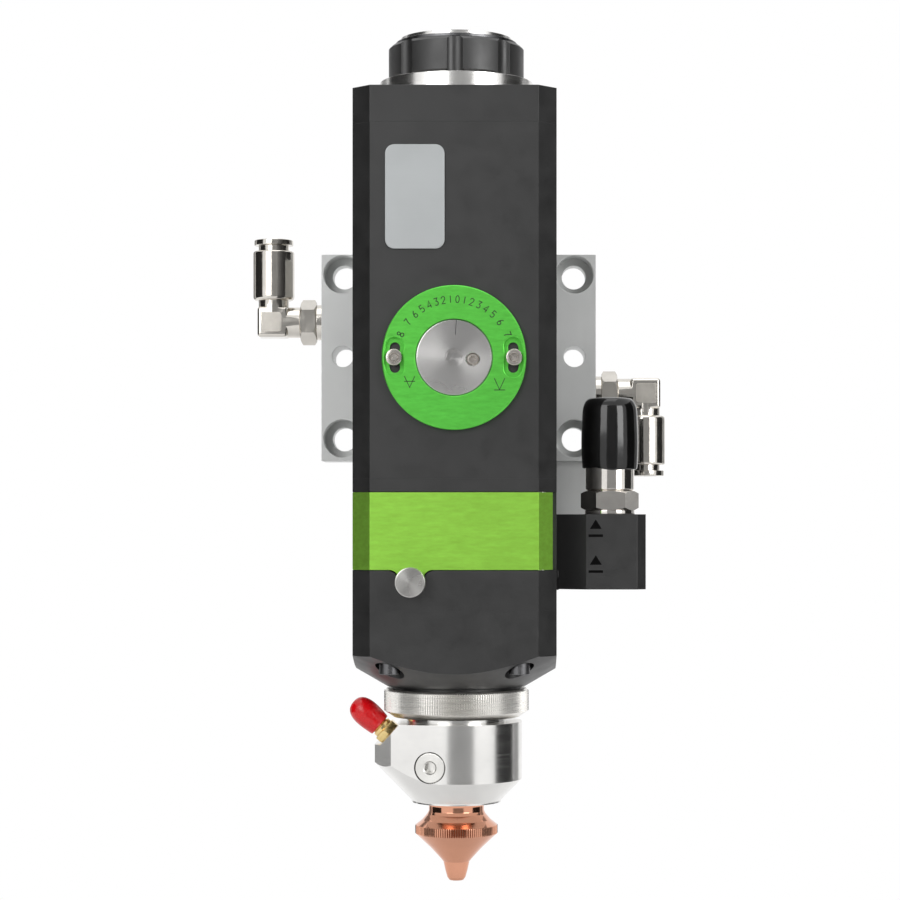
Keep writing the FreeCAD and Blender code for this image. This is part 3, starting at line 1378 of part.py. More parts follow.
def make_nozzle():
    bore = "nozzle_thread / 2 + running_gap"
    insulator = turned("insulator",
                       ("holder_wide / 2 + screw_gap", "insulator_bottom"),
                       ("insulator_wide / 2", "insulator_bottom"),
                       ("insulator_wide / 2", "insulator_top"),
                       (bore, "insulator_top"), (bore, "holder_top + running_gap"),
                       ("holder_wide / 2 + screw_gap", "holder_top + running_gap"))
    sub_part("insulator", insulator)
    holder = turned("nozzle_holder",
                    (bore, "sensor_bottom"), ("holder_wide / 2", "sensor_bottom"),
                    ("holder_wide / 2", "holder_top"), (bore, "holder_top"))
    sub_part("nozzle_holder", holder)

    band = "nozzle_band_wide / 2"
    root = band + " - 1.5 * nozzle_knurl_deep"
    throat = "nozzle_throat / 2"
    stub_top = "sensor_bottom + nozzle_stub"
    tip = turned("nozzle_turning",
                 (throat, stub_top), ("nozzle_thread / 2", stub_top),
                 ("nozzle_thread / 2", "sensor_bottom"), ("nozzle_neck_wide / 2", "sensor_bottom"),
                 ("nozzle_neck_wide / 2", "nozzle_neck_end"), (root, "nozzle_band_top"),
                 (root, "nozzle_band_end"), ("nozzle_tip_wide / 2", "nozzle_cone_end"),
                 ("nozzle_tip_waist_wide / 2", "nozzle_end + nozzle_tip_waist"),
                 ("nozzle_tip_end / 2 + nozzle_tip_edge", "nozzle_end + nozzle_tip_edge_high"),
                 ("nozzle_tip_end / 2", "nozzle_end"),
                 ("nozzle_orifice / 2", "nozzle_end"),
                 ("nozzle_orifice / 2", "nozzle_end + nozzle_land"))
    knurl = knurled_band("nozzle_knurl", "nozzle_band_wide", "nozzle_knurl_deep",
                         "nozzle_band_end", "nozzle_band_top", "nozzle_knurl_count")
    sub_part("nozzle", fuse("nozzle", tip, knurl))


def make_elbow(side, turn, rise):
    """One water elbow: its stud in the plate's edge, the swivelling body and its collet."""
    sign = "0 +" if side == "right" else "0 -"
    outward = "right" if side == "right" else "left"
    spindle = "elbow_spindle / 2"
    thread = "elbow_thread / 2"
    water = "elbow_water / 2"
    hex_start = "elbow_collar_high"
    hex_end = "elbow_collar_high + elbow_hex_high"
    stub = turned(f"{side}_stud_turning",
                  (water, "0 - port_deep"), (thread, "0 - port_deep"), (thread, "0"),
                  ("elbow_collar / 2", "0"), ("elbow_collar / 2", hex_start),
                  (spindle, hex_start), (spindle, hex_end + " + elbow_spindle_long"),
                  (water, hex_end + " + elbow_spindle_long"))
    nut = hexagon(f"{side}_stud_nut", "elbow_hex", "elbow_hex_high", hex_start)
    hole = rod(f"{side}_stud_water", water, "elbow_hex_high + 2 * cut_past",
               z="elbow_collar_high - cut_past")
    sub_part(f"{side}_elbow_stud",
             cut(f"{side}_elbow_stud", fuse(f"{side}_stud_solid", stub, nut), hole),
             f"{sign} plate_wide / 2", "plate_mid", rise, outward)

    arm = "elbow_arm / 2"
    inward = rod(f"{side}_arm", arm, "elbow_arm_long + elbow_arm / 2", "0 - elbow_arm / 2",
                 turn="right")
    upright = rod(f"{side}_leg", arm, "elbow_sleeve_start + elbow_arm / 2",
                  z="0 - elbow_arm / 2")
    knee = common(f"{side}_knee", inward, upright)
    reach = rod(f"{side}_arm_end", arm, "elbow_arm_long", turn="right")
    rising = rod(f"{side}_leg_end", arm, "elbow_sleeve_start + cut_past")
    sleeve = rod(f"{side}_sleeve_blank", "elbow_sleeve / 2",
                 "elbow_sleeve_end - elbow_sleeve_start", z="elbow_sleeve_start")
    radius = size("elbow_sleeve") / 2
    low = size("elbow_sleeve_start")
    high = size("elbow_sleeve_end")
    sleeve = rounded(f"{side}_sleeve", sleeve, size("elbow_sleeve_round"),
                     lambda edge: circle_at(low, radius)(edge) or circle_at(high, radius)(edge))
    tools = [
        rod(f"{side}_spindle_bore", spindle + " + running_gap",
            "elbow_spindle_long + 4 * elbow_swivel_gap", "elbow_arm_long", turn="left"),
        rod(f"{side}_cross_water", water, "elbow_arm_long", turn="right"),
        rod(f"{side}_rising_water", water, "elbow_sleeve_end"),
        rod(f"{side}_tube_seat", "tube_bore / 2", "elbow_sleeve_end - tube_seat_end",
            z="tube_seat_end"),
        rod(f"{side}_collet_bore", "collet_bore / 2", "elbow_sleeve_end - collet_bore_end",
            z="collet_bore_end"),
    ]
    elbow = cut(f"{side}_elbow", fuse(f"{side}_elbow_solid", knee, reach, rising, sleeve), *tools)
    sub_part(f"{side}_elbow", elbow, f"{sign} elbow_axis", "plate_mid", rise, turn)

    ring = "collet_top - collet_ring_high"
    collet = turned(f"{side}_collet",
                    ("tube_bore / 2", "collet_foot"), ("collet_wide / 2", "collet_foot"),
                    ("collet_wide / 2", ring), ("collet_ring / 2", ring),
                    ("collet_ring / 2", "collet_top"), ("tube_bore / 2", "collet_top"))
    sub_part(f"{side}_collet", collet, f"{sign} elbow_axis", "plate_mid", rise, turn)


def make_gas_side():
    slant = "body_half + gas_block_slant"
    front = "0 - gas_block_front"
    blank = prism("gas_block_blank", "gas_block_bottom", "gas_block_top",
                  ("body_half", "gas_block_back"),
                  ("body_half", front + " + gas_block_slant_deep"), (slant, front),
                  ("gas_block_end - gas_block_edge", front),
                  ("gas_block_end", front + " + gas_block_edge"),
                  ("gas_block_end", "gas_block_back"))
    middle = ("duct_seal_mid / 2", "duct_seal_cord / 2")
    groove = cut("duct_groove",
                 rod("duct_groove_outer", "(duct_seal_mid + duct_seal_cord) / 2 + running_gap",
                     "duct_seal_depth", "body_half", "0 - gas_front", "duct_height", "right"),
                 rod("duct_groove_inner", "(duct_seal_mid - duct_seal_cord) / 2 - running_gap",
                     "duct_seal_depth", "body_half", "0 - gas_front", "duct_height", "right"))
    tools = [
        groove,
        rod("gas_drop", "gas_bore / 2", "gas_block_top - duct_height",
            "gas_across", "0 - gas_front", "duct_height"),
        rod("gas_cross", "duct_bore / 2", "gas_across - body_half",
            "body_half", "0 - gas_front", "duct_height", "right"),
        rod("gas_thread", "gas_stub / 2 + screw_gap", "gas_stub_long + running_gap",
            "gas_across", "0 - gas_front", "gas_block_top", "down"),
    ]
    foot_mid = "bracket_foot_mid"
    gas_screws = []
    bracket_screws = []
    bracket_tools = []
    for side, sign in sides():
        x = f"bracket_mid {sign[-1]} gas_screw_apart / 2"
        tools.append(thread_hole(f"gas_screw_thread_{side}", "medium", "thread_bite",
                                 x, "gas_block_back", foot_mid, "front"))
        seat = "gas_block_back + gas_screw_grip"
        bracket_tools.append(screw_hole(f"gas_screw_hole_{side}", "medium",
                                        "gas_screw_grip + cut_past",
                                        "bracket_back - gas_block_back", x, seat, foot_mid,
                                        "back"))
        gas_screws.append(socket_screw(f"gas_screw_{side}", "medium",
                                       "gas_screw_grip + thread_bite", x, seat, foot_mid,
                                       "back"))
        z = f"{foot_mid} {sign[-1]} bracket_screw_apart / 2"
        seat = "body_half + bracket_screw_grip"
        bracket_tools.append(screw_hole(f"bracket_screw_hole_{side}", "medium",
                                        "bracket_screw_grip + cut_past", "bracket_wide",
                                        seat, "bracket_screw_deep", z, "right"))
        bracket_screws.append(socket_screw(f"bracket_screw_{side}", "medium",
                                           "bracket_screw_grip + thread_bite",
                                           seat, "bracket_screw_deep", z, "right"))
    sub_part("gas_block", cut("gas_block", blank, *tools))
    sub_part("duct_seal", seal_ring("duct_seal", *middle),
             "body_half + duct_seal_cord / 2", "0 - gas_front", "duct_height", "right")
    sub_part("bracket_screws", group("bracket_screws", *gas_screws, *bracket_screws))

    stem = block("bracket_stem", ("bracket_left", "bracket_right"),
                 ("bracket_front", "bracket_back"), ("gas_block_bottom", "bracket_top"))
    foot = block("bracket_foot", ("bracket_left", "bracket_right"),
                 ("gas_block_back", "bracket_back"), ("gas_block_bottom", "bracket_foot_top"))
    sub_part("block_bracket", cut("block_bracket", fuse("bracket_solid", stem, foot),
                                  *bracket_tools))
    make_gas_fitting()


def make_gas_fitting():
    spot = ("gas_across", "0 - gas_front")
    stub = "gas_stub / 2"
    washer = turned("gas_washer",
                    (stub + " + running_gap", "gas_block_top"),
                    ("gas_washer_wide / 2", "gas_block_top"),
                    ("gas_washer_wide / 2", "gas_hex_bottom"),
                    (stub + " + running_gap", "gas_hex_bottom"))
    sub_part("gas_washer", washer, *spot)

    passage = "duct_bore / 2"
    sleeve = turned("gas_fitting_turning",
                    (passage, "gas_block_top - gas_stub_long"),
                    (stub, "gas_block_top - gas_stub_long"), (stub, "gas_hex_top"),
                    ("gas_sleeve / 2", "gas_hex_top"),
                    ("gas_sleeve / 2", "gas_sleeve_top - gas_sleeve_edge"),
                    ("gas_sleeve / 2 - gas_sleeve_edge", "gas_sleeve_top"),
                    ("gas_collet_wide / 2 + running_gap", "gas_sleeve_top"),
                    ("gas_collet_wide / 2 + running_gap", "gas_collet_bore_end"),
                    ("gas_tube_bore / 2", "gas_collet_bore_end"),
                    ("gas_tube_bore / 2", "gas_seat_end"), (passage, "gas_seat_end"))
    nut = cut("gas_nut", hexagon("gas_nut_blank", "gas_hex", "gas_hex_high", "gas_hex_bottom"),
              rod("gas_nut_bore", stub + " - gas_nut_root", "gas_hex_high", z="gas_hex_bottom"))
    sub_part("gas_fitting", fuse("gas_fitting", sleeve, nut), *spot)

    ring = "gas_collet_top - collet_ring_high"
    collet = turned("gas_collet",
                    ("gas_tube_bore / 2", "gas_collet_foot"),
                    ("gas_collet_wide / 2", "gas_collet_foot"), ("gas_collet_wide / 2", ring),
                    ("gas_collet_ring / 2", ring), ("gas_collet_ring / 2", "gas_collet_top"),
                    ("gas_tube_bore / 2", "gas_collet_top"))
    sub_part("gas_collet", collet, *spot)

    # Drawn from its open end at height 0
    inner = "gas_sleeve / 2 + gas_cap_gap"
    room = "gas_collet_top - gas_cap_bottom + running_gap"
    cap = turned("gas_cap_blank",
                 (inner, "0"), ("gas_cap_wide / 2", "0"), ("gas_cap_top_wide / 2", "gas_cap_long"),
                 ("0", "gas_cap_long"), ("0", f"{room} + gas_cap_dome"),
                 (f"{inner} - gas_cap_dome", f"{room} + gas_cap_dome"),
                 (inner, room))
    top = size("gas_cap_long")
    radius = size("gas_cap_top_wide") / 2
    cap = rounded("gas_cap", cap, size("gas_cap_round"), circle_at(top, radius))
    sub_part("gas_cap", cap, *spot, "gas_cap_bottom")


def main():
    make_mount_plate()
    make_housing()
    make_top()
    make_collimator()
    make_carriage()
    make_dial()
    make_scale()
    make_window_block()
    make_door()
    make_drawer()
    make_nose()
    make_lock_ring()
    make_sensor()
    make_nozzle()
    make_elbow("left", "up", "port_rise")
    make_elbow("right", FreeCAD.Rotation(Y_AXIS, 180), "0 - port_rise")
    make_gas_side()
    doc.recompute()

    for thing in doc.Objects:
        if "Invalid" in thing.State or "Error" in thing.State:
            raise RuntimeError(f"{thing.Name} did not build: {thing.State}")
    for thing in sub_parts:
        shape = thing.Shape
        if shape.isNull() or not shape.isValid() or not shape.Solids:
            raise RuntimeError(f"{thing.Label} is not a valid solid")

    os.makedirs("parts", exist_ok=True)
    for thing in sub_parts:
        thing.Shape.exportStep(f"parts/{thing.Label}.step")
    print(len(sub_parts), "sub-parts written")


main()
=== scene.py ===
import json
import math

import bmesh
import bpy
from mathutils import Matrix, Vector


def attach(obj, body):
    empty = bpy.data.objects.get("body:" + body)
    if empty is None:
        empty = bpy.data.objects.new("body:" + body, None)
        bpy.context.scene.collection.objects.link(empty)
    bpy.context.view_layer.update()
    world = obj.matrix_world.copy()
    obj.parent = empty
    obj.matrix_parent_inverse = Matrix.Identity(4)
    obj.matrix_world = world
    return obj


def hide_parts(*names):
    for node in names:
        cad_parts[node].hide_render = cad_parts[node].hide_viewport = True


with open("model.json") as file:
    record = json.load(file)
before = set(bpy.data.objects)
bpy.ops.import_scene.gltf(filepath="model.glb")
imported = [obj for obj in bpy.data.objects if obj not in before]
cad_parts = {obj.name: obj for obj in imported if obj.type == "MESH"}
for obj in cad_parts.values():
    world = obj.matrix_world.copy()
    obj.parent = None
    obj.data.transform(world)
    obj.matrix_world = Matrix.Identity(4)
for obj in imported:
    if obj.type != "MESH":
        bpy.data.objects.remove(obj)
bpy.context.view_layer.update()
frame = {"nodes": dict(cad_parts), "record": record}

# The looks of a laser cutting head. Pieces are drawn in millimetres about the beam axis,
# with height 0 at the middle of the plate's bolt pattern, and are then set into the frame,
# whose origin lies on the plate's back face.

MM = 0.001
SETBACK = 53.5
INTO_FRAME = Matrix.Scale(MM, 4) @ Matrix.Translation((0, -SETBACK, 0))
OUT_OF_FRAME = INTO_FRAME.inverted()

# Up to this angle in degrees faces shade as one on pieces with wide flats
FLATS = 10

# Sizes shared with the model, in millimetres
BODY_HALF = 33.5
BODY_CHAMFER = 6.0
BODY_FRONT = -BODY_HALF
PLATE_HALF = 48.5
PLATE_BACK = 53.5
PLATE_MID = 43.5
DIAL_HEIGHT = -5.0
SCALE_FACE = -36.0
DIAL_FACE = -35.5
DIAL_PIN_OFFSET = 8.17
DIAL_LAG = math.radians(3.5)
SET_SCREW_AT = (6.1, -0.5, 0)
RING_THICK = 2.5
SLOT_RADIUS = 19.5
FIGURE_RADIUS = 18.9
FIGURE_HIGH = 2.3
MARK_RISE = 0.03
BLOCK_BOTTOM = -87.5
NOSE_EDGE = -108.1
NOSE_END = -113.9
SPIGOT_END = NOSE_END - 5.3
RING_TOP = -114.7
RING_BOTTOM = -124.3
SENSOR_BOTTOM = -153.3
FLOOR = -0.45
GAS_ACROSS = 52.0
GAS_DEEP = -1.5
PORT_RISE = 12.75
ELBOW_AXIS = 66.3
CAMERA_DISTANCE = 780

# Where a piece drawn along +Z points once it is turned
UP = Matrix.Identity(4)
DOWN = Matrix.Rotation(math.pi, 4, "X")
FRONT = Matrix.Rotation(math.pi / 2, 4, "X")
BACK = Matrix.Rotation(-math.pi / 2, 4, "X")
RIGHT = Matrix.Rotation(math.pi / 2, 4, "Y")
LEFT = Matrix.Rotation(-math.pi / 2, 4, "Y")

BODY_OF = {}
for body, members in frame["record"]["behaviour"]["bodies"].items():
    for member in members:
        BODY_OF[member] = body


# ---------------------------------------------------------------- shapes

def at(x, y, z, turn=UP):
    return Matrix.Translation((x, y, z)) @ turn


def eased(profile, radius, steps=3):
    """Round the corners of a closed outline. A corner on the axis stays sharp."""
    points = [Vector(p[:2]) for p in profile]
    wanted = [p[2] if len(p) > 2 else radius for p in profile]
    count = len(points)
    out = []
    for index in range(count):
        here = points[index]
        before = points[index - 1] - here
        after = points[(index + 1) % count] - here
        size = wanted[index]
        if here.x < 1e-6 or size <= 0 or before.length < 1e-6 or after.length < 1e-6:
            out.append(here)
            continue
        opening = before.angle(after)
        if opening > math.radians(172) or opening < math.radians(8):
            out.append(here)
            continue
        reach = min(size / math.tan(opening / 2), before.length * 0.45, after.length * 0.45)
        start = here + before.normalized() * reach
        end = here + after.normalized() * reach
        for step in range(steps + 1):
            share = step / steps
            near = start.lerp(here, share)
            far = here.lerp(end, share)
            out.append(near.lerp(far, share))
    return [(p.x, p.y) for p in out]


def turned(profile, steps=128, place=UP):
    """A solid of revolution about Z from a closed outline of radius and height."""
    bm = bmesh.new()
    columns = []
    for step in range(steps):
        angle = 2 * math.pi * step / steps
        columns.append([bm.verts.new((r * math.cos(angle), r * math.sin(angle), z))
                        for r, z in profile])
    count = len(profile)
    for step in range(steps):
        near, far = columns[step], columns[(step + 1) % steps]
        for index in range(count):
            after = (index + 1) % count
            if profile[index][0] < 1e-9 and profile[after][0] < 1e-9:
                continue
            bm.faces.new((near[index], far[index], far[after], near[after]))
    bmesh.ops.remove_doubles(bm, verts=bm.verts, dist=1e-5)
    bmesh.ops.recalc_face_normals(bm, faces=bm.faces)
    bm.transform(place)
    return bm


def rod(radius, low, high, place=UP, steps=64, edge=0.0):
    profile = [(0, low), (radius, low), (radius, high), (0, high)]
    return turned(eased(profile, edge) if edge else profile, steps, place)


def prism(points, low, high, place=UP):
    """A closed plan outline raised from one height to another."""
    bm = bmesh.new()
    lower = [bm.verts.new((x, y, low)) for x, y in points]
    upper = [bm.verts.new((x, y, high)) for x, y in points]
    bm.faces.new(lower[::-1])
    bm.faces.new(upper)
    for index in range(len(points)):
        after = (index + 1) % len(points)
        bm.faces.new((lower[index], lower[after], upper[after], upper[index]))
    bmesh.ops.recalc_face_normals(bm, faces=bm.faces)
    bm.transform(place)
    return bm


def block(x_pair, y_pair, z_pair, place=UP):
    (a, b), (c, d) = x_pair, y_pair
    return prism([(a, c), (b, c), (b, d), (a, d)], *z_pair, place)


def hexagon(flats, low, high, turn=0.0):
    corner = flats / 2 / math.cos(math.pi / 6)
    points = []
    for side in range(6):
        angle = math.pi / 3 * side + turn
        points.append((corner * math.cos(angle), corner * math.sin(angle)))
    return prism(points, low, high)


def body_section(low, high):
    half = BODY_HALF
    near = half - BODY_CHAMFER
    return prism([(-near, -half), (near, -half), (half, -near), (half, near),
                  (near, half), (-near, half), (-half, near), (-half, -near)], low, high)


def joined(*parts):
    """Put several meshes into one, without merging what touches."""
    whole = bmesh.new()
    for part in parts:
        mesh = bpy.data.meshes.new("part")
        part.to_mesh(mesh)
        whole.from_mesh(mesh)
        bpy.data.meshes.remove(mesh)
        part.free()
    return whole


def held(bm, name="work"):
    """A bmesh as an object in the scene, for modifiers to work on."""
    mesh = bpy.data.meshes.new(name)
    bm.to_mesh(mesh)
    bm.free()
    thing = bpy.data.objects.new(name, mesh)
    bpy.context.scene.collection.objects.link(thing)
    return thing


def released(thing):
    """The object's finished mesh as a bmesh. The object itself is removed."""
    bpy.context.view_layer.update()
    graph = bpy.context.evaluated_depsgraph_get()
    mesh = bpy.data.meshes.new_from_object(thing.evaluated_get(graph))
    bm = bmesh.new()
    bm.from_mesh(mesh)
    bpy.data.meshes.remove(mesh)
    discard(thing)
    return bm


def discard(thing):
    data = thing.data
    bpy.data.objects.remove(thing)
    bpy.data.meshes.remove(data)


def combined(base, operation, tools):
    thing = held(base)
    others = []
    for tool in tools:
        other = held(tool, "tool")
        modifier = thing.modifiers.new("step", "BOOLEAN")
        modifier.operation = operation
        modifier.solver = "EXACT"
        modifier.object = other
        others.append(other)
    result = released(thing)
    for other in others:
        discard(other)
    # A face with holes folds over itself if it is only split after its edges are broken
    bmesh.ops.triangulate(result, faces=[f for f in result.faces if len(f.verts) > 4])
    return result


def carved(base, *tools):
    return combined(base, "DIFFERENCE", tools)


def fused(base, *parts):
    return combined(base, "UNION", parts)


def common(base, *others):
    return combined(base, "INTERSECT", others)


def cleaned(bm):
    """Merge the doubled corners that cutting leaves."""
    bmesh.ops.remove_doubles(bm, verts=bm.verts, dist=2e-4)
    bmesh.ops.dissolve_degenerate(bm, edges=bm.edges, dist=2e-4)
    return bm


def bevelled(bm, width, segments=2, angle=28):
    """Break the sharp edges. On the frame's own meshes hardly any bevel is left."""
    thing = held(bm)
    modifier = thing.modifiers.new("edge", "BEVEL")
    modifier.width = width
    modifier.segments = segments
    modifier.limit_method = "ANGLE"
    modifier.angle_limit = math.radians(angle)
    modifier.use_clamp_overlap = True
    modifier.miter_outer = "MITER_ARC"
    return released(thing)


def cad_copy(node):
    """A merged copy of a node's mesh, in millimetres about the beam."""
    bm = bmesh.new()
    bm.from_mesh(frame["nodes"][node].data)
    bm.transform(OUT_OF_FRAME)
    bmesh.ops.remove_doubles(bm, verts=bm.verts, dist=2e-3)
    cleaned(bm)
    bmesh.ops.dissolve_limit(bm, angle_limit=math.radians(0.4), verts=bm.verts,
                             edges=bm.edges)
    return bm


def settle_normals(thing):
    """Weigh the normals by face area, so that flat faces stay flat beside a broken edge."""
    modifier = thing.modifiers.new("normals", "WEIGHTED_NORMAL")
    modifier.keep_sharp = True
    bpy.context.view_layer.update()
    graph = bpy.context.evaluated_depsgraph_get()
    mesh = bpy.data.meshes.new_from_object(thing.evaluated_get(graph))
    before = thing.data
    thing.modifiers.clear()
    thing.data = mesh
    bpy.data.meshes.remove(before)


def show(name, bm, material, *nodes, slot=None, body=None, smooth=30):
    """Set a finished mesh into the frame, on the body of the node that it stands for."""
    bmesh.ops.triangulate(bm, faces=[f for f in bm.faces if len(f.verts) > 4])
    mesh = bpy.data.meshes.new(name)
    bm.transform(INTO_FRAME)
    bm.to_mesh(mesh)
    bm.free()
    mesh.shade_smooth()
    mesh.set_sharp_from_angle(angle=math.radians(smooth))
    mesh.materials.clear()
    mesh.materials.append(material)
    thing = bpy.data.objects.new(name, mesh)
    bpy.context.scene.collection.objects.link(thing)
    settle_normals(thing)
    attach(thing, body or BODY_OF[nodes[0]])
    if nodes:
        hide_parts(*nodes)


# ---------------------------------------------------------------- repeats by nodes

def new_tree(name, *inputs):
    tree = bpy.data.node_groups.new(name, "GeometryNodeTree")
    tree.interface.new_socket("Geometry", in_out="INPUT", socket_type="NodeSocketGeometry")
    sockets = {}
    for label, kind, value in inputs:
        socket = tree.interface.new_socket(label, in_out="INPUT", socket_type=kind)
        if value is not None:
            socket.default_value = value
        sockets[label] = socket.identifier
    tree.interface.new_socket("Geometry", in_out="OUTPUT", socket_type="NodeSocketGeometry")
    return tree, sockets


def finish_tree(tree, geometry, entry):
    real = tree.nodes.new("GeometryNodeRealizeInstances")
    coat = tree.nodes.new("GeometryNodeSetMaterial")
    leave = tree.nodes.new("NodeGroupOutput")
    tree.links.new(geometry, real.inputs["Geometry"])
    tree.links.new(real.outputs["Geometry"], coat.inputs["Geometry"])
    tree.links.new(entry.outputs["Finish"], coat.inputs["Material"])
    tree.links.new(coat.outputs["Geometry"], leave.inputs[0])


def make_groove_tree():
    """Cutters for a straight knurl: square bars on edge, spaced evenly about the axis."""
    tree, sockets = new_tree("knurl_grooves", ("Teeth", "NodeSocketInt", 90),
                             ("Radius", "NodeSocketFloat", 20.0),
                             ("Width", "NodeSocketFloat", 0.5),
                             ("Length", "NodeSocketFloat", 10.0),
                             ("Middle", "NodeSocketFloat", 0.0),
                             ("Finish", "NodeSocketMaterial", None))
    nodes, links = tree.nodes, tree.links
    entry = nodes.new("NodeGroupInput")
    ring = nodes.new("GeometryNodeMeshCircle")
    links.new(entry.outputs["Teeth"], ring.inputs["Vertices"])
    links.new(entry.outputs["Radius"], ring.inputs["Radius"])
    bar = nodes.new("GeometryNodeMeshCube")
    size = nodes.new("ShaderNodeCombineXYZ")
    for label, socket in (("Width", "X"), ("Width", "Y"), ("Length", "Z")):
        links.new(entry.outputs[label], size.inputs[socket])
    links.new(size.outputs["Vector"], bar.inputs["Size"])
    on_edge = nodes.new("GeometryNodeTransform")
    on_edge.inputs["Rotation"].default_value = (0, 0, math.pi / 4)
    links.new(bar.outputs["Mesh"], on_edge.inputs["Geometry"])
    spot = nodes.new("GeometryNodeInputPosition")
    aim = nodes.new("FunctionNodeAlignRotationToVector")
    aim.axis = "X"
    aim.pivot_axis = "Z"
    links.new(spot.outputs["Position"], aim.inputs["Vector"])
    rise = nodes.new("ShaderNodeCombineXYZ")
    links.new(entry.outputs["Middle"], rise.inputs["Z"])
    spread = nodes.new("GeometryNodeInstanceOnPoints")
    links.new(ring.outputs["Mesh"], spread.inputs["Points"])
    links.new(on_edge.outputs["Geometry"], spread.inputs["Instance"])
    links.new(aim.outputs["Rotation"], spread.inputs["Rotation"])
    lift = nodes.new("GeometryNodeTransform")
    links.new(spread.outputs["Instances"], lift.inputs["Geometry"])
    links.new(rise.outputs["Vector"], lift.inputs["Translation"])
    finish_tree(tree, lift.outputs["Geometry"], entry)
    return tree, sockets


def make_screw_tree():
    """One screw model set on every corner of a carrier mesh, turned by its own angles."""
    tree, sockets = new_tree("screws_in_holes", ("Screw", "NodeSocketObject", None),
                             ("Finish", "NodeSocketMaterial", None))
    nodes, links = tree.nodes, tree.links
    entry = nodes.new("NodeGroupInput")
    model = nodes.new("GeometryNodeObjectInfo")
    links.new(entry.outputs["Screw"], model.inputs["Object"])
    turn = nodes.new("GeometryNodeInputNamedAttribute")
    turn.data_type = "FLOAT_VECTOR"
    turn.inputs["Name"].default_value = "turn"
    spread = nodes.new("GeometryNodeInstanceOnPoints")
    links.new(entry.outputs["Geometry"], spread.inputs["Points"])
    links.new(model.outputs["Geometry"], spread.inputs["Instance"])
    links.new(turn.outputs["Attribute"], spread.inputs["Rotation"])
    finish_tree(tree, spread.outputs["Instances"], entry)
    return tree, sockets


def with_nodes(thing, tree, sockets, **values):
    modifier = thing.modifiers.new("repeat", "NODES")
    modifier.node_group = tree
    for label, value in values.items():
        modifier[sockets[label]] = value
    return released(thing)


def grooves(teeth, root, tip, low, high, finish):
    """The cutters of one knurl. Their inner edge runs along the root of the teeth."""
    width = 2 * math.pi * tip / teeth * 0.66
    reach = width / math.sqrt(2)
    carrier = held(bmesh.new(), "grooves")
    return with_nodes(carrier, *GROOVE_TREE, Teeth=teeth, Radius=root + reach, Width=width,
                      Length=high - low, Middle=(low + high) / 2, Finish=finish)


def screws(model, spots, finish):
    """Copies of one screw, at places given as x, y, z and a turning matrix."""
    points = bmesh.new()
    for x, y, z, turn in spots:
        points.verts.new((x, y, z))
    carrier = held(points, "spots")
    angles = carrier.data.attributes.new("turn", "FLOAT_VECTOR", "POINT")
    for index, (x, y, z, turn) in enumerate(spots):
        angles.data[index].vector = turn.to_euler()
    pattern = held(model, "pattern")
    result = with_nodes(carrier, *SCREW_TREE, Screw=pattern, Finish=finish)
    discard(pattern)
    return result


def socket_screw(head, high, shank, long, key, edge=0.35):
    """A cap screw that points along +Z, with its seat at height 0 and its hex socket."""
    blank = turned(eased([(0, -long), (shank / 2, -long, 0.3), (shank / 2, 0, 0),
                          (head / 2, 0, 0.1), (head / 2, high, edge), (0, high)], 0.1), 48)
    lead = turned([(0, high - 0.3), (key / 2, high - 0.3), (key / 2 + 0.55, high + 0.25),
                   (0, high + 0.25)], 24)
    return carved(blank, hexagon(key, high * 0.42, high + 1), lead)


# ---------------------------------------------------------------- finishes

def socket_value(shader, **values):
    for label, value in values.items():
        shader.inputs[label.replace("_", " ")].default_value = value


class Finish:
    """A material under construction: a principled shader and the patterns that feed it."""

    def __init__(self, name, colour, metal, roughness, **values):
        self.material = bpy.data.materials.new(name)
        self.material.use_nodes = True
        self.tree = self.material.node_tree
        self.shader = self.tree.nodes["Principled BSDF"]
        self.shader.inputs["Base Color"].default_value = (*colour, 1)
        self.shader.inputs["Metallic"].default_value = metal
        self.shader.inputs["Roughness"].default_value = roughness
        socket_value(self.shader, **values)
        self.place = self.tree.nodes.new("ShaderNodeTexCoord").outputs["Object"]
        self.relief = None

    def link(self, source, target):
        self.tree.links.new(source, target)

    def node(self, kind, **values):
        made = self.tree.nodes.new(kind)
        for label, value in values.items():
            made.inputs[label].default_value = value
        return made

    def noise(self, size, scale=(1, 1, 1), detail=3.0, rough=0.55):
        """Noise whose features are about size metres across, drawn out along some axes."""
        stretch = self.node("ShaderNodeMapping", Scale=scale)
        self.link(self.place, stretch.inputs["Vector"])
        made = self.node("ShaderNodeTexNoise", Scale=1 / size, Detail=detail, Roughness=rough)
        self.link(stretch.outputs["Vector"], made.inputs["Vector"])
        return made.outputs["Fac"]

    def remap(self, source, low, high, start=0.3, end=0.7):
        made = self.node("ShaderNodeMapRange")
        made.inputs["From Min"].default_value = start
        made.inputs["From Max"].default_value = end
        made.inputs["To Min"].default_value = low
        made.inputs["To Max"].default_value = high
        self.link(source, made.inputs["Value"])
        return made.outputs["Result"]

    def mixed(self, factor, first, second):
        made = self.tree.nodes.new("ShaderNodeMix")
        made.data_type = "RGBA"
        colours = [s for s in made.inputs if s.type == "RGBA"]
        for socket, colour in zip(colours, (first, second)):
            socket.default_value = (*colour, 1)
        self.link(factor, made.inputs[0])
        return [s for s in made.outputs if s.type == "RGBA"][0]

    def tint(self, factor, first, second):
        """Shade the base colour between two colours."""
        self.link(self.mixed(factor, first, second), self.shader.inputs["Base Color"])

    def gloss(self, source, low, high):
        self.link(self.remap(source, low, high), self.shader.inputs["Roughness"])

    def bump(self, source, height, strength=0.5):
        made = self.node("ShaderNodeBump", Strength=strength, Distance=height)
        self.link(source, made.inputs["Height"])
        if self.relief:
            self.link(self.relief, made.inputs["Normal"])
        self.relief = made.outputs["Normal"]
        self.link(self.relief, self.shader.inputs["Normal"])


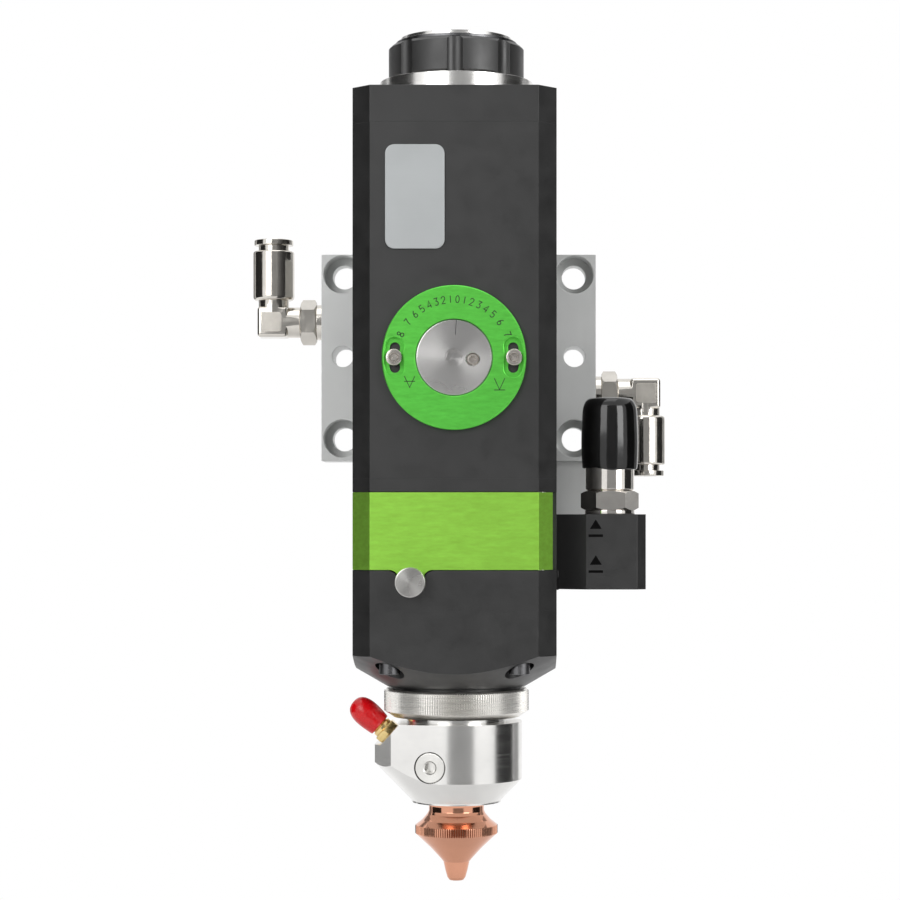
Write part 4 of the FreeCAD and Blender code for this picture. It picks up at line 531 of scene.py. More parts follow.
def anodised_black(name, colour):
    """Fine bead-blasted aluminium, dyed black."""
    made = Finish(name, colour, 0.0, 0.40, Specular_IOR_Level=0.72)
    cloud = made.noise(0.018, detail=4)
    lighter = tuple(c * 1.13 for c in colour)
    darker = tuple(c * 0.90 for c in colour)
    made.tint(made.remap(cloud, 0, 1), darker, lighter)
    grain = made.noise(0.00028, detail=2)
    made.gloss(made.noise(0.006, detail=5), 0.36, 0.47)
    made.bump(grain, 0.00002, 0.22)
    return made.material


def anodised_clear(name, colour, along, lustre=0.34):
    """Milled aluminium with clear anodising; the mill marks run along one axis."""
    made = Finish(name, colour, 0.35, lustre)
    stretch = {"X": (0.04, 1, 1), "Y": (1, 0.04, 1), "Z": (1, 1, 0.04)}[along]
    marks = made.noise(0.0007, stretch, detail=4)
    cloud = made.noise(0.03, detail=3)
    paler = tuple(min(1, c * 1.05) for c in colour)
    deeper = tuple(c * 0.93 for c in colour)
    made.tint(made.remap(cloud, 0, 1), deeper, paler)
    made.gloss(marks, lustre - 0.05, lustre + 0.08)
    made.bump(marks, 0.00003, 0.25)
    made.bump(made.noise(0.0003, detail=2), 0.000012, 0.2)
    return made.material


def anodised_colour(name, colour, grain_size=0.0011):
    """Bright dyed aluminium with a faint cross grain."""
    made = Finish(name, colour, 0.82, 0.36, Specular_IOR_Level=0.45)
    grain = made.noise(grain_size, (0.25, 1, 1), detail=5, rough=0.7)
    spots = made.noise(0.0006, detail=3)
    brighter = tuple(min(1, c * 1.10 + 0.01) for c in colour)
    deeper = tuple(c * 0.86 for c in colour)
    made.tint(made.remap(grain, 0, 1, 0.25, 0.75), deeper, brighter)
    made.gloss(spots, 0.33, 0.45)
    made.bump(grain, 0.00004, 0.2)
    return made.material


def turned_metal(name, colour, roughness, direction, tangent, marks):
    """Lathe-turned metal, its marks running round the axis that it was turned about."""
    made = Finish(name, colour, 1.0, roughness)
    squeeze = {"X": (1, 0.02, 0.02), "Y": (0.02, 1, 0.02), "Z": (0.02, 0.02, 1)}[direction]
    lines = made.noise(marks, squeeze, detail=3)
    cloud = made.noise(0.012, detail=3)
    made.tint(made.remap(cloud, 0, 1), tuple(c * 0.94 for c in colour),
              tuple(min(1, c * 1.04) for c in colour))
    made.gloss(lines, roughness * 0.8, roughness * 1.25)
    made.bump(lines, 0.00002, 0.3)
    if tangent:
        # On a faced disc the light fans out across the marks, towards the rim
        fan = 0.25 if direction == "Y" else 0.0
        socket_value(made.shader, Anisotropic=tangent, Anisotropic_Rotation=fan)
        way = made.tree.nodes.new("ShaderNodeTangent")
        way.direction_type = "RADIAL"
        way.axis = direction
        made.link(way.outputs["Tangent"], made.shader.inputs["Tangent"])
    return made.material


def plated(name, colour, roughness, orange=0.0014):
    """Bright nickel over a brass casting: mirror-like, with a slight waviness."""
    made = Finish(name, colour, 1.0, roughness)
    wave = made.noise(orange, detail=2)
    cloud = made.noise(0.006, detail=4)
    made.tint(made.remap(cloud, 0, 1), tuple(c * 0.90 for c in colour),
              tuple(min(1, c * 1.06) for c in colour))
    made.gloss(made.noise(0.0025, detail=5), roughness * 0.75, roughness * 1.5)
    made.bump(wave, 0.00003, 0.35)
    made.bump(made.noise(0.0002, detail=2), 0.000006, 0.3)
    return made.material


def forged(name, colour):
    """The sand-cast face of a fitting, plated over its grain."""
    made = Finish(name, colour, 1.0, 0.36)
    grain = made.noise(0.00035, detail=4)
    made.tint(made.remap(made.noise(0.004), 0, 1), tuple(c * 0.85 for c in colour), colour)
    made.gloss(grain, 0.28, 0.46)
    made.bump(grain, 0.00008, 0.6)
    return made.material


def vinyl(name, colour, roughness, rise):
    """Dipped soft plastic: glossy, slightly uneven, paler where it is thin."""
    made = Finish(name, colour, 0.0, roughness, Coat_Weight=0.15, Coat_Roughness=0.08)
    cloud = made.noise(0.007, detail=2)
    made.tint(made.remap(cloud, 0, 1), tuple(c * 0.8 for c in colour),
              tuple(min(1, c * 1.25) for c in colour))
    made.gloss(made.noise(0.002, detail=4), roughness * 0.8, roughness * 1.35)
    made.bump(made.noise(0.0045, (1, 1, 0.5), detail=2), rise, 0.6)
    return made.material


def soft_seal(name, colour):
    made = Finish(name, colour, 0.0, 0.55)
    grain = made.noise(0.0004, detail=3)
    made.tint(made.remap(grain, 0, 1), tuple(c * 0.7 for c in colour),
              tuple(c * 1.6 for c in colour))
    made.gloss(grain, 0.48, 0.64)
    made.bump(grain, 0.00002, 0.3)
    return made.material


def plain_mineral(name, colour, roughness):
    """Fired ceramic or a white fluoropolymer: pale, dense, hardly any grain."""
    made = Finish(name, colour, 0.0, roughness)
    cloud = made.noise(0.003, detail=4)
    made.tint(made.remap(cloud, 0, 1), tuple(c * 0.93 for c in colour), colour)
    made.gloss(cloud, roughness * 0.85, roughness * 1.2)
    made.bump(made.noise(0.0003), 0.00001, 0.2)
    return made.material


def coated_glass(name):
    made = Finish(name, (0.93, 0.97, 0.98), 0.0, 0.02, Transmission_Weight=1.0, IOR=1.45,
                  Coat_Weight=0.6, Coat_Roughness=0.02)
    made.shader.inputs["Coat Tint"].default_value = (0.75, 0.85, 1.0, 1)
    cloud = made.noise(0.004, detail=2)
    made.gloss(cloud, 0.01, 0.04)
    return made.material


def etched(name, colour, sheen=0.5):
    made = Finish(name, colour, 0.0, 0.6, Specular_IOR_Level=sheen)
    grain = made.noise(0.0003, detail=3)
    made.tint(made.remap(grain, 0, 1), tuple(c * 0.7 for c in colour),
              tuple(c * 1.3 for c in colour))
    return made.material


BODY_BLACK = anodised_black("black_anodised_body", (0.0145, 0.0145, 0.0145))
INNER_BLACK = anodised_black("black_anodised_rings", (0.02, 0.02, 0.02))
PLATE_SILVER = anodised_clear("milled_plate", (0.72, 0.73, 0.72), "Z")
LABEL_SILVER = anodised_clear("brushed_name_plate", (0.47, 0.49, 0.495), "X", 0.42)
BARREL_SILVER = anodised_clear("clear_anodised_barrel", (0.62, 0.63, 0.64), "X")
RING_GREEN = anodised_colour("green_dial_ring", (0.125, 0.64, 0.076))
COVER_GREEN = anodised_colour("lime_cover", (0.35, 0.74, 0.083), 0.0016)
DIAL_STEEL = turned_metal("faced_dial_steel", (0.66, 0.65, 0.64), 0.23, "Y", 0.85, 0.0004)
KNOB_STEEL = turned_metal("faced_knob_steel", (0.60, 0.59, 0.57), 0.32, "Y", 0.7, 0.0004)
SENSOR_STEEL = turned_metal("satin_sensor_steel", (0.86, 0.85, 0.83), 0.19, "Z", 0.3, 0.0004)
RING_STEEL = turned_metal("knurled_ring_steel", (0.88, 0.86, 0.82), 0.26, "Z", 0.0, 0.0005)
PLUG_STEEL = turned_metal("faced_plug_steel", (0.80, 0.79, 0.76), 0.24, "Y", 0.4, 0.0004)
SCREW_STEEL = plated("bright_screw_steel", (0.66, 0.62, 0.57), 0.22, 0.0009)
# Dark steel: the clips' own dark finish, and on the nose screws painted shade that stands for the
# shade inside their pockets
DARK_STEEL_AND_POCKET_SHADE = plated("dark_clip_steel_and_painted_pocket_shade", (0.16, 0.16, 0.165), 0.30, 0.0009)
NICKEL = plated("bright_nickel", (0.70, 0.67, 0.62), 0.12)
CHROME = plated("mirror_sleeve", (0.78, 0.75, 0.71), 0.07, 0.004)
CAST_NICKEL = forged("cast_nickel_face", (0.62, 0.59, 0.54))
COPPER = turned_metal("turned_copper", (0.74, 0.36, 0.235), 0.11, "Z", 0.2, 0.0004)
GOLD = plated("gold_plate", (0.86, 0.66, 0.30), 0.14)
RED_VINYL = vinyl("red_vinyl", (0.90, 0.003, 0.008), 0.24, 0.00004)
BLACK_VINYL = vinyl("black_vinyl", (0.004, 0.004, 0.004), 0.10, 0.00008)
SEAL_RUBBER = soft_seal("seal_rubber", (0.02, 0.02, 0.02))
CERAMIC = plain_mineral("white_ceramic", (0.82, 0.81, 0.77), 0.35)
FLUOROPOLYMER = plain_mineral("white_fluoropolymer", (0.83, 0.83, 0.81), 0.45)
GLASS = coated_glass("coated_glass")
ENGRAVING = etched("engraved_marks", (0.012, 0.03, 0.008))
INDEX_MARK = etched("index_mark", (0.06, 0.06, 0.06))
BLOCK_MARK = etched("block_marks", (0.002, 0.002, 0.002), 0.05)

GROOVE_TREE = make_groove_tree()
SCREW_TREE = make_screw_tree()


# ---------------------------------------------------------------- plate and body

def make_plate():
    show("plate", bevelled(cad_copy("mount_plate"), 0.3), PLATE_SILVER, "mount_plate",
         smooth=FLATS)

    screw = socket_screw(8.5, 5, 5, 22.5, 4)
    spots = [(21 * side, PLATE_BACK - 5.5, z, BACK) for side in (-1, 1) for z in (-24, 24)]
    show("plate_fixings", screws(screw, spots, SCREW_STEEL), SCREW_STEEL, "plate_screws")


def make_body():
    for node in ("main_housing", "window_block", "top_flange"):
        show(node + "_shell", bevelled(cad_copy(node), 0.42), BODY_BLACK, node, smooth=FLATS)

    # The nose: the body's section cut to a cone, with pockets for its screws
    wide = 53.6
    slope = (26.4 - 20.6) / (BODY_HALF - 23.6)
    cone = turned([(0, BLOCK_BOTTOM), (wide, BLOCK_BOTTOM),
                   (wide, NOSE_EDGE + (wide - BODY_HALF) * slope), (23.6, NOSE_END),
                   (21.7, NOSE_END), (21.7, NOSE_END - 1.1), (20, NOSE_END - 1.1),
                   (20, SPIGOT_END), (0, SPIGOT_END)], 192)
    nose = common(body_section(SPIGOT_END, BLOCK_BOTTOM), cone)
    tools = [rod(12.5, NOSE_END - 6, BLOCK_BOTTOM + 1, steps=96),
             rod(14.05, NOSE_END - 6, SPIGOT_END + 6.4, steps=96)]
    seats = BLOCK_BOTTOM - 21.0 + 4.0
    places = [(x, y) for x in (-21.3, 21.3) for y in (-27.5, 27.5)]
    for x, y in places:
        tools.append(rod(4.8, -26, 0, at(x, y, seats), 56))
        tools.append(rod(2.25, -1, 26, at(x, y, seats), 40))
    show("nose_shell", bevelled(cleaned(carved(nose, *tools)), 0.40), BODY_BLACK, "nose",
         smooth=FLATS)
    screw = socket_screw(7, 4, 4, 25, 3)
    spots = [(x, y, seats, DOWN) for x, y in places]
    # The nose screws take the dark steel as painted shade: it stands for the shade inside their
    # pockets
    show("nose_fixings", screws(screw, spots, DARK_STEEL_AND_POCKET_SHADE), DARK_STEEL_AND_POCKET_SHADE, "nose_screws")

    label = block((-22.5, -3.1), (BODY_FRONT - 0.8, BODY_FRONT), (30.5, 64.5))
    corners = [e for e in label.edges if abs((e.verts[0].co - e.verts[1].co).y) > 0.5]
    bmesh.ops.bevel(label, geom=corners, offset=3, segments=8, affect="EDGES", profile=0.5)
    show("name_plate_blank", bevelled(label, 0.22, 3), LABEL_SILVER, "name_plate", smooth=50)


def make_top():
    screw = socket_screw(7, 4, 4, 15.5, 3)
    spots = [(x, y, 79.5, UP) for x in (-25, 25) for y in (-25, 25)]
    show("top_fixings", screws(screw, spots, SCREW_STEEL), SCREW_STEEL, "top_flange_screws")
    small = socket_screw(5.4, 3, 3, 10.9, 2.5, 0.3)
    spots = [(22.5 * math.cos(a), 22.5 * math.sin(a), 90 - 3.05, UP)
             for a in (0, math.pi / 2, math.pi, 3 * math.pi / 2)]
    show("receiver_fixings", screws(small, spots, SCREW_STEEL), SCREW_STEEL, "receiver_screws")

    show("receiver_body", bevelled(cad_copy("fibre_receiver"), 0.15), SENSOR_STEEL,
         "fibre_receiver")
    show("collar_body", bevelled(cad_copy("lock_collar"), 0.2, angle=35), INNER_BLACK,
         "lock_collar")
    show("collar_spring_clip", turned(eased([(18.25, 102.6), (20.6, 102.6), (20.6, 103.6),
                                             (18.25, 103.6)], 0.15), 128), DARK_STEEL_AND_POCKET_SHADE,
         "collar_clip")


# ---------------------------------------------------------------- focus dial

def arc_bar(radius, width, half_angle, low, high, middle=0.0, steps=14):
    """A curved bar with round ends, centred on an angle about Z."""
    points = []
    half = width / 2
    start, end = middle - half_angle, middle + half_angle
    for index in range(steps + 1):
        angle = start + (end - start) * index / steps
        points.append(((radius + half) * math.cos(angle), (radius + half) * math.sin(angle)))
    for index in range(1, 12):
        turn = end + math.pi * index / 12
        points.append((radius * math.cos(end) + half * math.cos(turn),
                       radius * math.sin(end) + half * math.sin(turn)))
    for index in range(steps + 1):
        angle = end + (start - end) * index / steps
        points.append(((radius - half) * math.cos(angle), (radius - half) * math.sin(angle)))
    for index in range(1, 12):
        turn = start + math.pi + math.pi * index / 12
        points.append((radius * math.cos(start) + half * math.cos(turn),
                       radius * math.sin(start) + half * math.sin(turn)))
    return prism(points, low, high)


def make_dial():
    facing = at(0, BODY_FRONT, DIAL_HEIGHT, FRONT)
    ring = turned(eased([(12.55, 0, 0.1), (23.5, 0, 0.1), (23.5, 2.2, 0.15), (23.15, 2.5, 0.15),
                         (12.75, 2.5, 0.1), (12.55, 2.35, 0.1)], 0.1), 192)
    tools = []
    for middle in (0, math.pi):
        tools.append(arc_bar(SLOT_RADIUS, 3.4, math.radians(9.6), -1, 3, middle))
        tools.append(arc_bar(SLOT_RADIUS, 6.2, math.radians(10.4), 1.2, 3.5, middle))
    ring = bevelled(cleaned(carved(ring, *tools)), 0.12, angle=50)
    ring.transform(facing)
    show("dial_scale_ring", ring, RING_GREEN, "scale_ring", smooth=FLATS)

    screw = socket_screw(5.4, 3, 3, 9.2, 2.5, 0.5)
    spots = [(SLOT_RADIUS * side, SCALE_FACE + 1.28, DIAL_HEIGHT, FRONT) for side in (-1, 1)]
    show("scale_ring_fixings", screws(screw, spots, SCREW_STEEL), SCREW_STEEL,
         "scale_ring_screws")

    # The dial is drawn with its face at height 0 and its pin below it
    face = at(0, DIAL_FACE, DIAL_HEIGHT, FRONT)
    shaft = turned(eased([(0, 0), (12.35, 0, 0.35), (12.35, -2.15, 0), (16, -2.15, 0.2),
                          (16, -4.55), (12, -4.55), (12, -10.55), (10.8, -10.55),
                          (10.8, -12.15), (12, -12.15), (12, -15.2), (0, -15.2)], 0.1), 160)
    pin = rod(2.5, -20.3, -13, at(DIAL_PIN_OFFSET * math.cos(DIAL_LAG),
                               -DIAL_PIN_OFFSET * math.sin(DIAL_LAG), 0), 40)
    dial = carved(fused(shaft, pin), rod(3.0, -0.6, 1, steps=48),
                  hexagon(5.0, -5.0, 0.5, turn=0.2), rod(2.05, -7.5, 1, at(*SET_SCREW_AT), 40),
                  turned([(0, -0.35), (2.05, -0.35), (2.5, 0.1), (0, 0.1)], 40,
                         at(*SET_SCREW_AT)))
    dial.transform(face)
    show("dial_body", dial, DIAL_STEEL, "dial_shaft", smooth=FLATS)
    grub = carved(turned(eased([(0, -7), (1.6, -7), (2, -6.6), (2, -1.35), (1.65, -1.0),
                                (0, -1.0)], 0.1), 40), hexagon(2, -3, 0))
    grub.transform(face @ Matrix.Translation(SET_SCREW_AT))
    show("dial_grub", grub, SCREW_STEEL, "dial_set_screw")
    make_dial_marks(facing, face)


DIGITS = {
    "0": [[(.24 * math.sin(math.pi * i / 8), .5 - .5 * math.cos(math.pi * i / 8))
           for i in range(17)]],
    "1": [[(0, 0), (0, 1)]],
    "2": [[(-.25, .75), (-.2, .92), (0, 1), (.2, .92), (.25, .75), (.18, .55), (-.25, 0),
           (.25, 0)]],
    "3": [[(-.25, 1), (.25, 1), (0, .6), (.2, .5), (.25, .27), (.15, .06), (-.05, 0),
           (-.25, .12)]],
    "4": [[(.15, 0), (.15, 1), (-.27, .3), (.28, .3)]],
    "5": [[(.22, 1), (-.2, 1), (-.23, .56), (0, .62), (.2, .52), (.25, .28), (.14, .06),
           (-.05, 0), (-.25, .1)]],
    "6": [[(.15, 1), (-.1, .72), (-.24, .35), (-.2, .1), (0, 0), (.2, .1), (.24, .3), (.15, .5),
           (0, .56), (-.22, .4)]],
    "7": [[(-.25, 1), (.25, 1), (0, .45), (-.05, 0)]],
    "8": [[(0, .52), (-.2, .65), (-.2, .88), (0, 1), (.2, .88), (.2, .65), (0, .52), (-.24, .38),
           (-.24, .12), (0, 0), (.24, .12), (.24, .38), (0, .52)]],
}


def stroke(points, width, thick):
    """A thin flat line through level points, with mitred corners and closed ends."""
    path = [Vector(p) for p in points]
    left, right = [], []
    for index, here in enumerate(path):
        before = (here - path[index - 1]).normalized() if index else None
        after = (path[index + 1] - here).normalized() if index < len(path) - 1 else None
        way = ((before or after) + (after or before)).normalized()
        side = Vector((-way.y, way.x))
        lean = max(0.5, side.dot(Vector((-(after or before).y, (after or before).x))))
        left.append(here + side * width / 2 / lean)
        right.append(here - side * width / 2 / lean)
    bm = bmesh.new()
    for index in range(len(path) - 1):
        ring = [right[index], right[index + 1], left[index + 1], left[index]]
        low = [bm.verts.new((p.x, p.y, -0.02)) for p in ring]
        high = [bm.verts.new((p.x, p.y, thick)) for p in ring]
        bm.faces.new(high)
        bm.faces.new(low[::-1])
        for corner in range(4):
            after = (corner + 1) % 4
            if corner == 1 and index < len(path) - 2 or corner == 3 and index > 0:
                continue
            bm.faces.new((low[corner], low[after], high[after], high[corner]))
    bmesh.ops.remove_doubles(bm, verts=bm.verts, dist=1e-4)
    return bm


def make_dial_marks(facing, face):
    marks = []
    for value in range(-8, 8):
        angle = math.asin((value + 0.5) / DIAL_PIN_OFFSET)
        for points in DIGITS[str(abs(value))]:
            line = stroke([(x * FIGURE_HIGH, (y - 0.5) * FIGURE_HIGH) for x, y in points],
                          0.30, MARK_RISE)
            line.transform(Matrix.Rotation(-angle, 4, "Z")
                           @ Matrix.Translation((0, FIGURE_RADIUS, RING_THICK)))
            marks.append(line)
    for x, y, bar in ((-14.4, -8.0, 0.2), (14.8, -8.7, -1.9)):
        for points in ([(-1.7, 1.9), (0, -1.8), (1.7, 1.9)], [(-1.8, bar), (1.8, bar)]):
            line = stroke(points, 0.26, MARK_RISE)
            line.transform(Matrix.Translation((x, y, RING_THICK)))
            marks.append(line)
    whole = joined(*marks)
    whole.transform(facing)
    show("scale_figures", whole, ENGRAVING, slot="green_anodised", body="scale")
    index = stroke([(0, 7.4), (0, 12.1)], 0.25, 0.02)
    index.transform(face @ Matrix.Rotation(-DIAL_LAG, 4, "Z"))
    show("dial_index_line", index, INDEX_MARK, slot="turned_steel", body="dial")


# ---------------------------------------------------------------- cover and drawer

def make_cover():
    show("cover_plate", bevelled(cad_copy("door"), 0.25, angle=32), COVER_GREEN, "door",
         smooth=FLATS)
    knob_place = at(-14.1, BODY_FRONT, -78.0, FRONT)
    knob = turned(eased([(0, 8), (4.9, 8, 0.45), (4.9, 0, 0.45), (2.065, 0), (2.065, -5.7),
                         (1.615, -5.7), (1.615, -6.5), (2.065, -6.5), (2.065, -12, 0.3),
                         (0, -12)], 0.08, 2), 144)
    knob = carved(knob, grooves(72, 4.68, 4.9, -0.5, 7.55, KNOB_STEEL))
    knob.transform(knob_place)
    show("cover_knob", knob, KNOB_STEEL, "door_screw", smooth=24)


# ---------------------------------------------------------------- lower end

def make_lock_ring():
    ring = turned(eased([(22, RING_TOP, 0.2), (23.6, RING_TOP, 0.2), (24.5, RING_TOP - 0.9, 0.1),
                         (24.5, -122.2, 0.1), (21.5, RING_BOTTOM, 0.25), (17.2, RING_BOTTOM, 0.2),
                         (17.2, -121.4), (20.1, -121.4), (20.1, -115.4), (22, -115.4)], 0.08, 2),
                  216)
    ring = carved(ring, grooves(180, 24.12, 24.5, RING_BOTTOM - 1, RING_TOP + 1, RING_STEEL))
    show("lock_ring_body", ring, RING_STEEL, "lock_ring", smooth=24)


def make_sensor():
    show("sensor_shell", bevelled(cad_copy("sensor_body"), 0.18, angle=20), SENSOR_STEEL,
         "sensor_body", smooth=FLATS)
    tilt = math.radians(12.2)
    near_x, near_y = 22.2 * math.sin(tilt), 22.2 * math.cos(tilt)
    plug_front = near_y - (8.4 - near_x) * math.tan(tilt)
    plug_place = at(-8.4, -plug_front, -139.95, Matrix.Rotation(-tilt, 4, "Z") @ FRONT)
    coax_out = at(-22.65, 0, -130.35, Matrix.Rotation(-math.radians(49), 4, "Y"))

    plug = turned(eased([(0, -7), (5, -7), (5, 0, 0.35), (0, 0)], 0.1), 96)
    lead = turned([(0, -0.4), (1.9, -0.4), (2.4, 0.1), (0, 0.1)], 48)
    plug = carved(plug, hexagon(3.5, -3, 1, turn=0.35), lead)
    plug.transform(plug_place)
    show("sensor_side_plug", plug, PLUG_STEEL, "sensor_plug")
    make_connector(coax_out)


def nut(flats, low, high, chamfer, turn=0.0):
    """A hexagon whose corners are turned off at both ends."""
    corner = flats / 2 / math.cos(math.pi / 6)
    round_off = turned([(0, low - 0.01), (flats / 2 * 0.985, low - 0.01),
                        (corner + 0.3, low + chamfer), (corner + 0.3, high - chamfer),
                        (flats / 2 * 0.985, high + 0.01), (0, high + 0.01)], 96)
    whole = common(hexagon(flats, low, high, turn=turn), round_off)
    return bevelled(cleaned(whole), 0.12, angle=20)


def make_connector(place):
    rings = [(0, -5.5), (3, -5.5), (3, 0), (3.1, 0)]
    height = 2.7
    while height < 11.6:
        rings += [(3.1, height), (2.88, height + 0.2), (3.1, height + 0.4)]
        height += 0.62
    rings += [(3.1, 12, 0.15), (2.3, 12, 0.1), (2.3, 10.1), (2.05, 10.1), (2.05, 4), (0, 4)]
    shell = turned(eased(rings, 0.02, 2), 72)
    shell = joined(shell, nut(8, 0, 2.6, chamfer=0.45, turn=math.radians(30)),
                   turned(eased([(3.0, 2.6), (3.55, 2.6), (3.55, 3.9), (3.0, 3.9)], 0.15), 72))
    shell.transform(place)
    show("coax_shell", shell, GOLD, "coax_connector")

    skin = flowing([(3.6, 4.4), (4.05, 4.75), (4.35, 6.8), (4.6, 9.4), (4.5, 12.0), (3.85, 14.3),
                    (2.6, 15.8), (1.2, 16.4), (0, 16.5)])
    cap = turned([(3.15, 4.4)] + skin + [(0, 14.0), (2.8, 14.0), (3.15, 13.6)], 96)
    cap.transform(place)
    show("red_cap", uneven(cap, 0.10, 4.0, 3), RED_VINYL, "coax_cap", smooth=60)


def flowing(points, steps=6):
    """A smooth line through the given points, for the outline of a soft piece."""
    path = [Vector(p) for p in points]
    out = []
    for index in range(len(path) - 1):
        before, here = path[max(index - 1, 0)], path[index]
        after, last = path[index + 1], path[min(index + 2, len(path) - 1)]
        for step in range(steps):
            t = step / steps
            spot = 0.5 * (2 * here + (after - before) * t
                          + (2 * before - 5 * here + 4 * after - last) * t * t
                          + (3 * here - before - 3 * after + last) * t ** 3)
            out.append((max(spot.x, 0.0), spot.y))
    out.append(tuple(path[-1]))
    return out


def uneven(bm, amount, size, seed):
    """Move a soft skin a little, along its own normals, in broad waves."""
    bm.normal_update()
    moved = []
    for vert in bm.verts:
        p = vert.co / size
        wave = (math.sin(p.x * 1.7 + p.z * 0.9 + seed) + math.sin(p.y * 1.3 - p.z * 1.1 + seed)
                + math.sin((p.x + p.y) * 0.8 + p.z * 0.6 + 2 * seed)) / 3
        moved.append(vert.co + vert.normal * wave * amount)
    for vert, place in zip(bm.verts, moved):
        vert.co = place
    return bm


def make_nozzle():
    tip = turned(eased([(3.5, -147.3), (5.5, -147.3, 0.3), (5.5, SENSOR_BOTTOM),
                        (9.7, SENSOR_BOTTOM, 0.15), (9.35, -154.6, 0.4), (9.35, -156.3, 0.8),
                        (9.9, -157.4, 1.0), (11.6, -159.4, 1.2), (14, -161.3, 0.3),
                        (14, -163.9, 0.3), (8.9, -168.7, 3), (5.3, -172.6, 2),
                        (4.75, -173.3, 0.1), (4.45, -173.6, 0.05), (3.75, -176.7, 1),
                        (3.1, -179.0, 0.7), (2.4, SENSOR_BOTTOM - 26.7, 0.5),
                        (0.75, SENSOR_BOTTOM - 26.7, 0.1), (0.75, -177)], 0.05), 192)
    tip = carved(tip, grooves(110, 13.68, 14.0, -165.5, -159.5, COPPER))
    show("copper_nozzle", tip, COPPER, "nozzle", smooth=24)


# ---------------------------------------------------------------- water elbows

def make_elbow(side):
    """The swivel elbow, drawn with its arm along +X and its tube end along +Z."""
    name = "left" if side < 0 else "right"
    stud = at(PLATE_HALF * side, PLATE_MID, -PORT_RISE * side, RIGHT if side > 0 else LEFT)
    profile = turned(eased([(2.3, -9), (4.5, -9, 0.5), (4.5, 0), (6.3, 0, 0.3), (6.3, 2.3, 0.3),
                            (3.5, 2.3), (3.5, 12.95), (2.3, 12.95)], 0.1), 80)
    collar = joined(profile, carved(nut(14, 2.3, 7.95, chamfer=0.9), rod(2.3, 2, 9)))
    collar.transform(stud)
    show(name + "_stud_nut", collar, NICKEL, name + "_elbow_stud")

    arm_end = ELBOW_AXIS - PLATE_HALF - 8.05
    arm = rod(5.45, 1.0, arm_end, RIGHT, 96, 0.3)
    leg = rod(5.45, 1.0, 9.5, UP, 96)
    sleeve = turned(eased([(0, 7.75), (7.35, 7.75, 1.5), (7.35, 25.4, 0.9), (0, 25.4)], 0.1, 5),
                    128)
    corner = prism(eased([(-5.45, -5.45, 3.4), (5.45, -5.45, 1.6), (5.45, 5.45, 1.6),
                          (-5.45, 5.45, 1.6)], 1.0, 6), -5.3, 5.3)
    corner.transform(Matrix(((1, 0, 0, 0), (0, 0, 1, 0), (0, 1, 0, 0), (0, 0, 0, 1))))
    bmesh.ops.recalc_face_normals(corner, faces=corner.faces)
    corner = bevelled(corner, 1.2, 4, 50)
    body = fused(corner, arm, leg, sleeve)
    body = carved(body, rod(3.55, arm_end - 5.4, arm_end + 1, RIGHT, 48),
                  rod(2.3, 0, arm_end, RIGHT, 32), rod(2.3, 0, 26, UP, 32),
                  rod(4.1, 8, 26, UP, 64), rod(5.45, 12, 26, UP, 64))
    place = at(ELBOW_AXIS * side, PLATE_MID, -PORT_RISE * side)
    turn = UP if side < 0 else Matrix.Rotation(math.pi, 4, "Y")
    body = bevelled(cleaned(body), 0.15, angle=40)
    body.transform(place @ turn)
    show(name + "_elbow_body", body, NICKEL, name + "_elbow", smooth=38)

    pad = prism(eased([(-3.9, -3.6, 1.2), (3.4, -3.6, 1), (3.4, 3.4, 1), (-3.9, 3.4, 1)], 1),
                5.25, 5.5)
    pad.transform(place @ turn @ FRONT)
    show(name + "_cast_face", bevelled(pad, 0.12), CAST_NICKEL, slot="nickel",
         body=name + "_elbow")

    collet = turned(eased([(4.1, 14), (5.4, 14), (5.4, 27.4), (6.95, 27.4, 0.3), (6.95, 29.4, 0.5),
                           (4.1, 29.4, 0.5)], 0.15), 96)
    cuts = [block((-0.45, 0.45), (-8, 8), (13, 23), Matrix.Rotation(a, 4, "Z"))
            for a in (0, math.pi / 2)]
    collet = carved(collet, *cuts)
    collet.transform(place @ turn)
    show(name + "_release_ring", collet, NICKEL, name + "_collet")


# ---------------------------------------------------------------- gas side

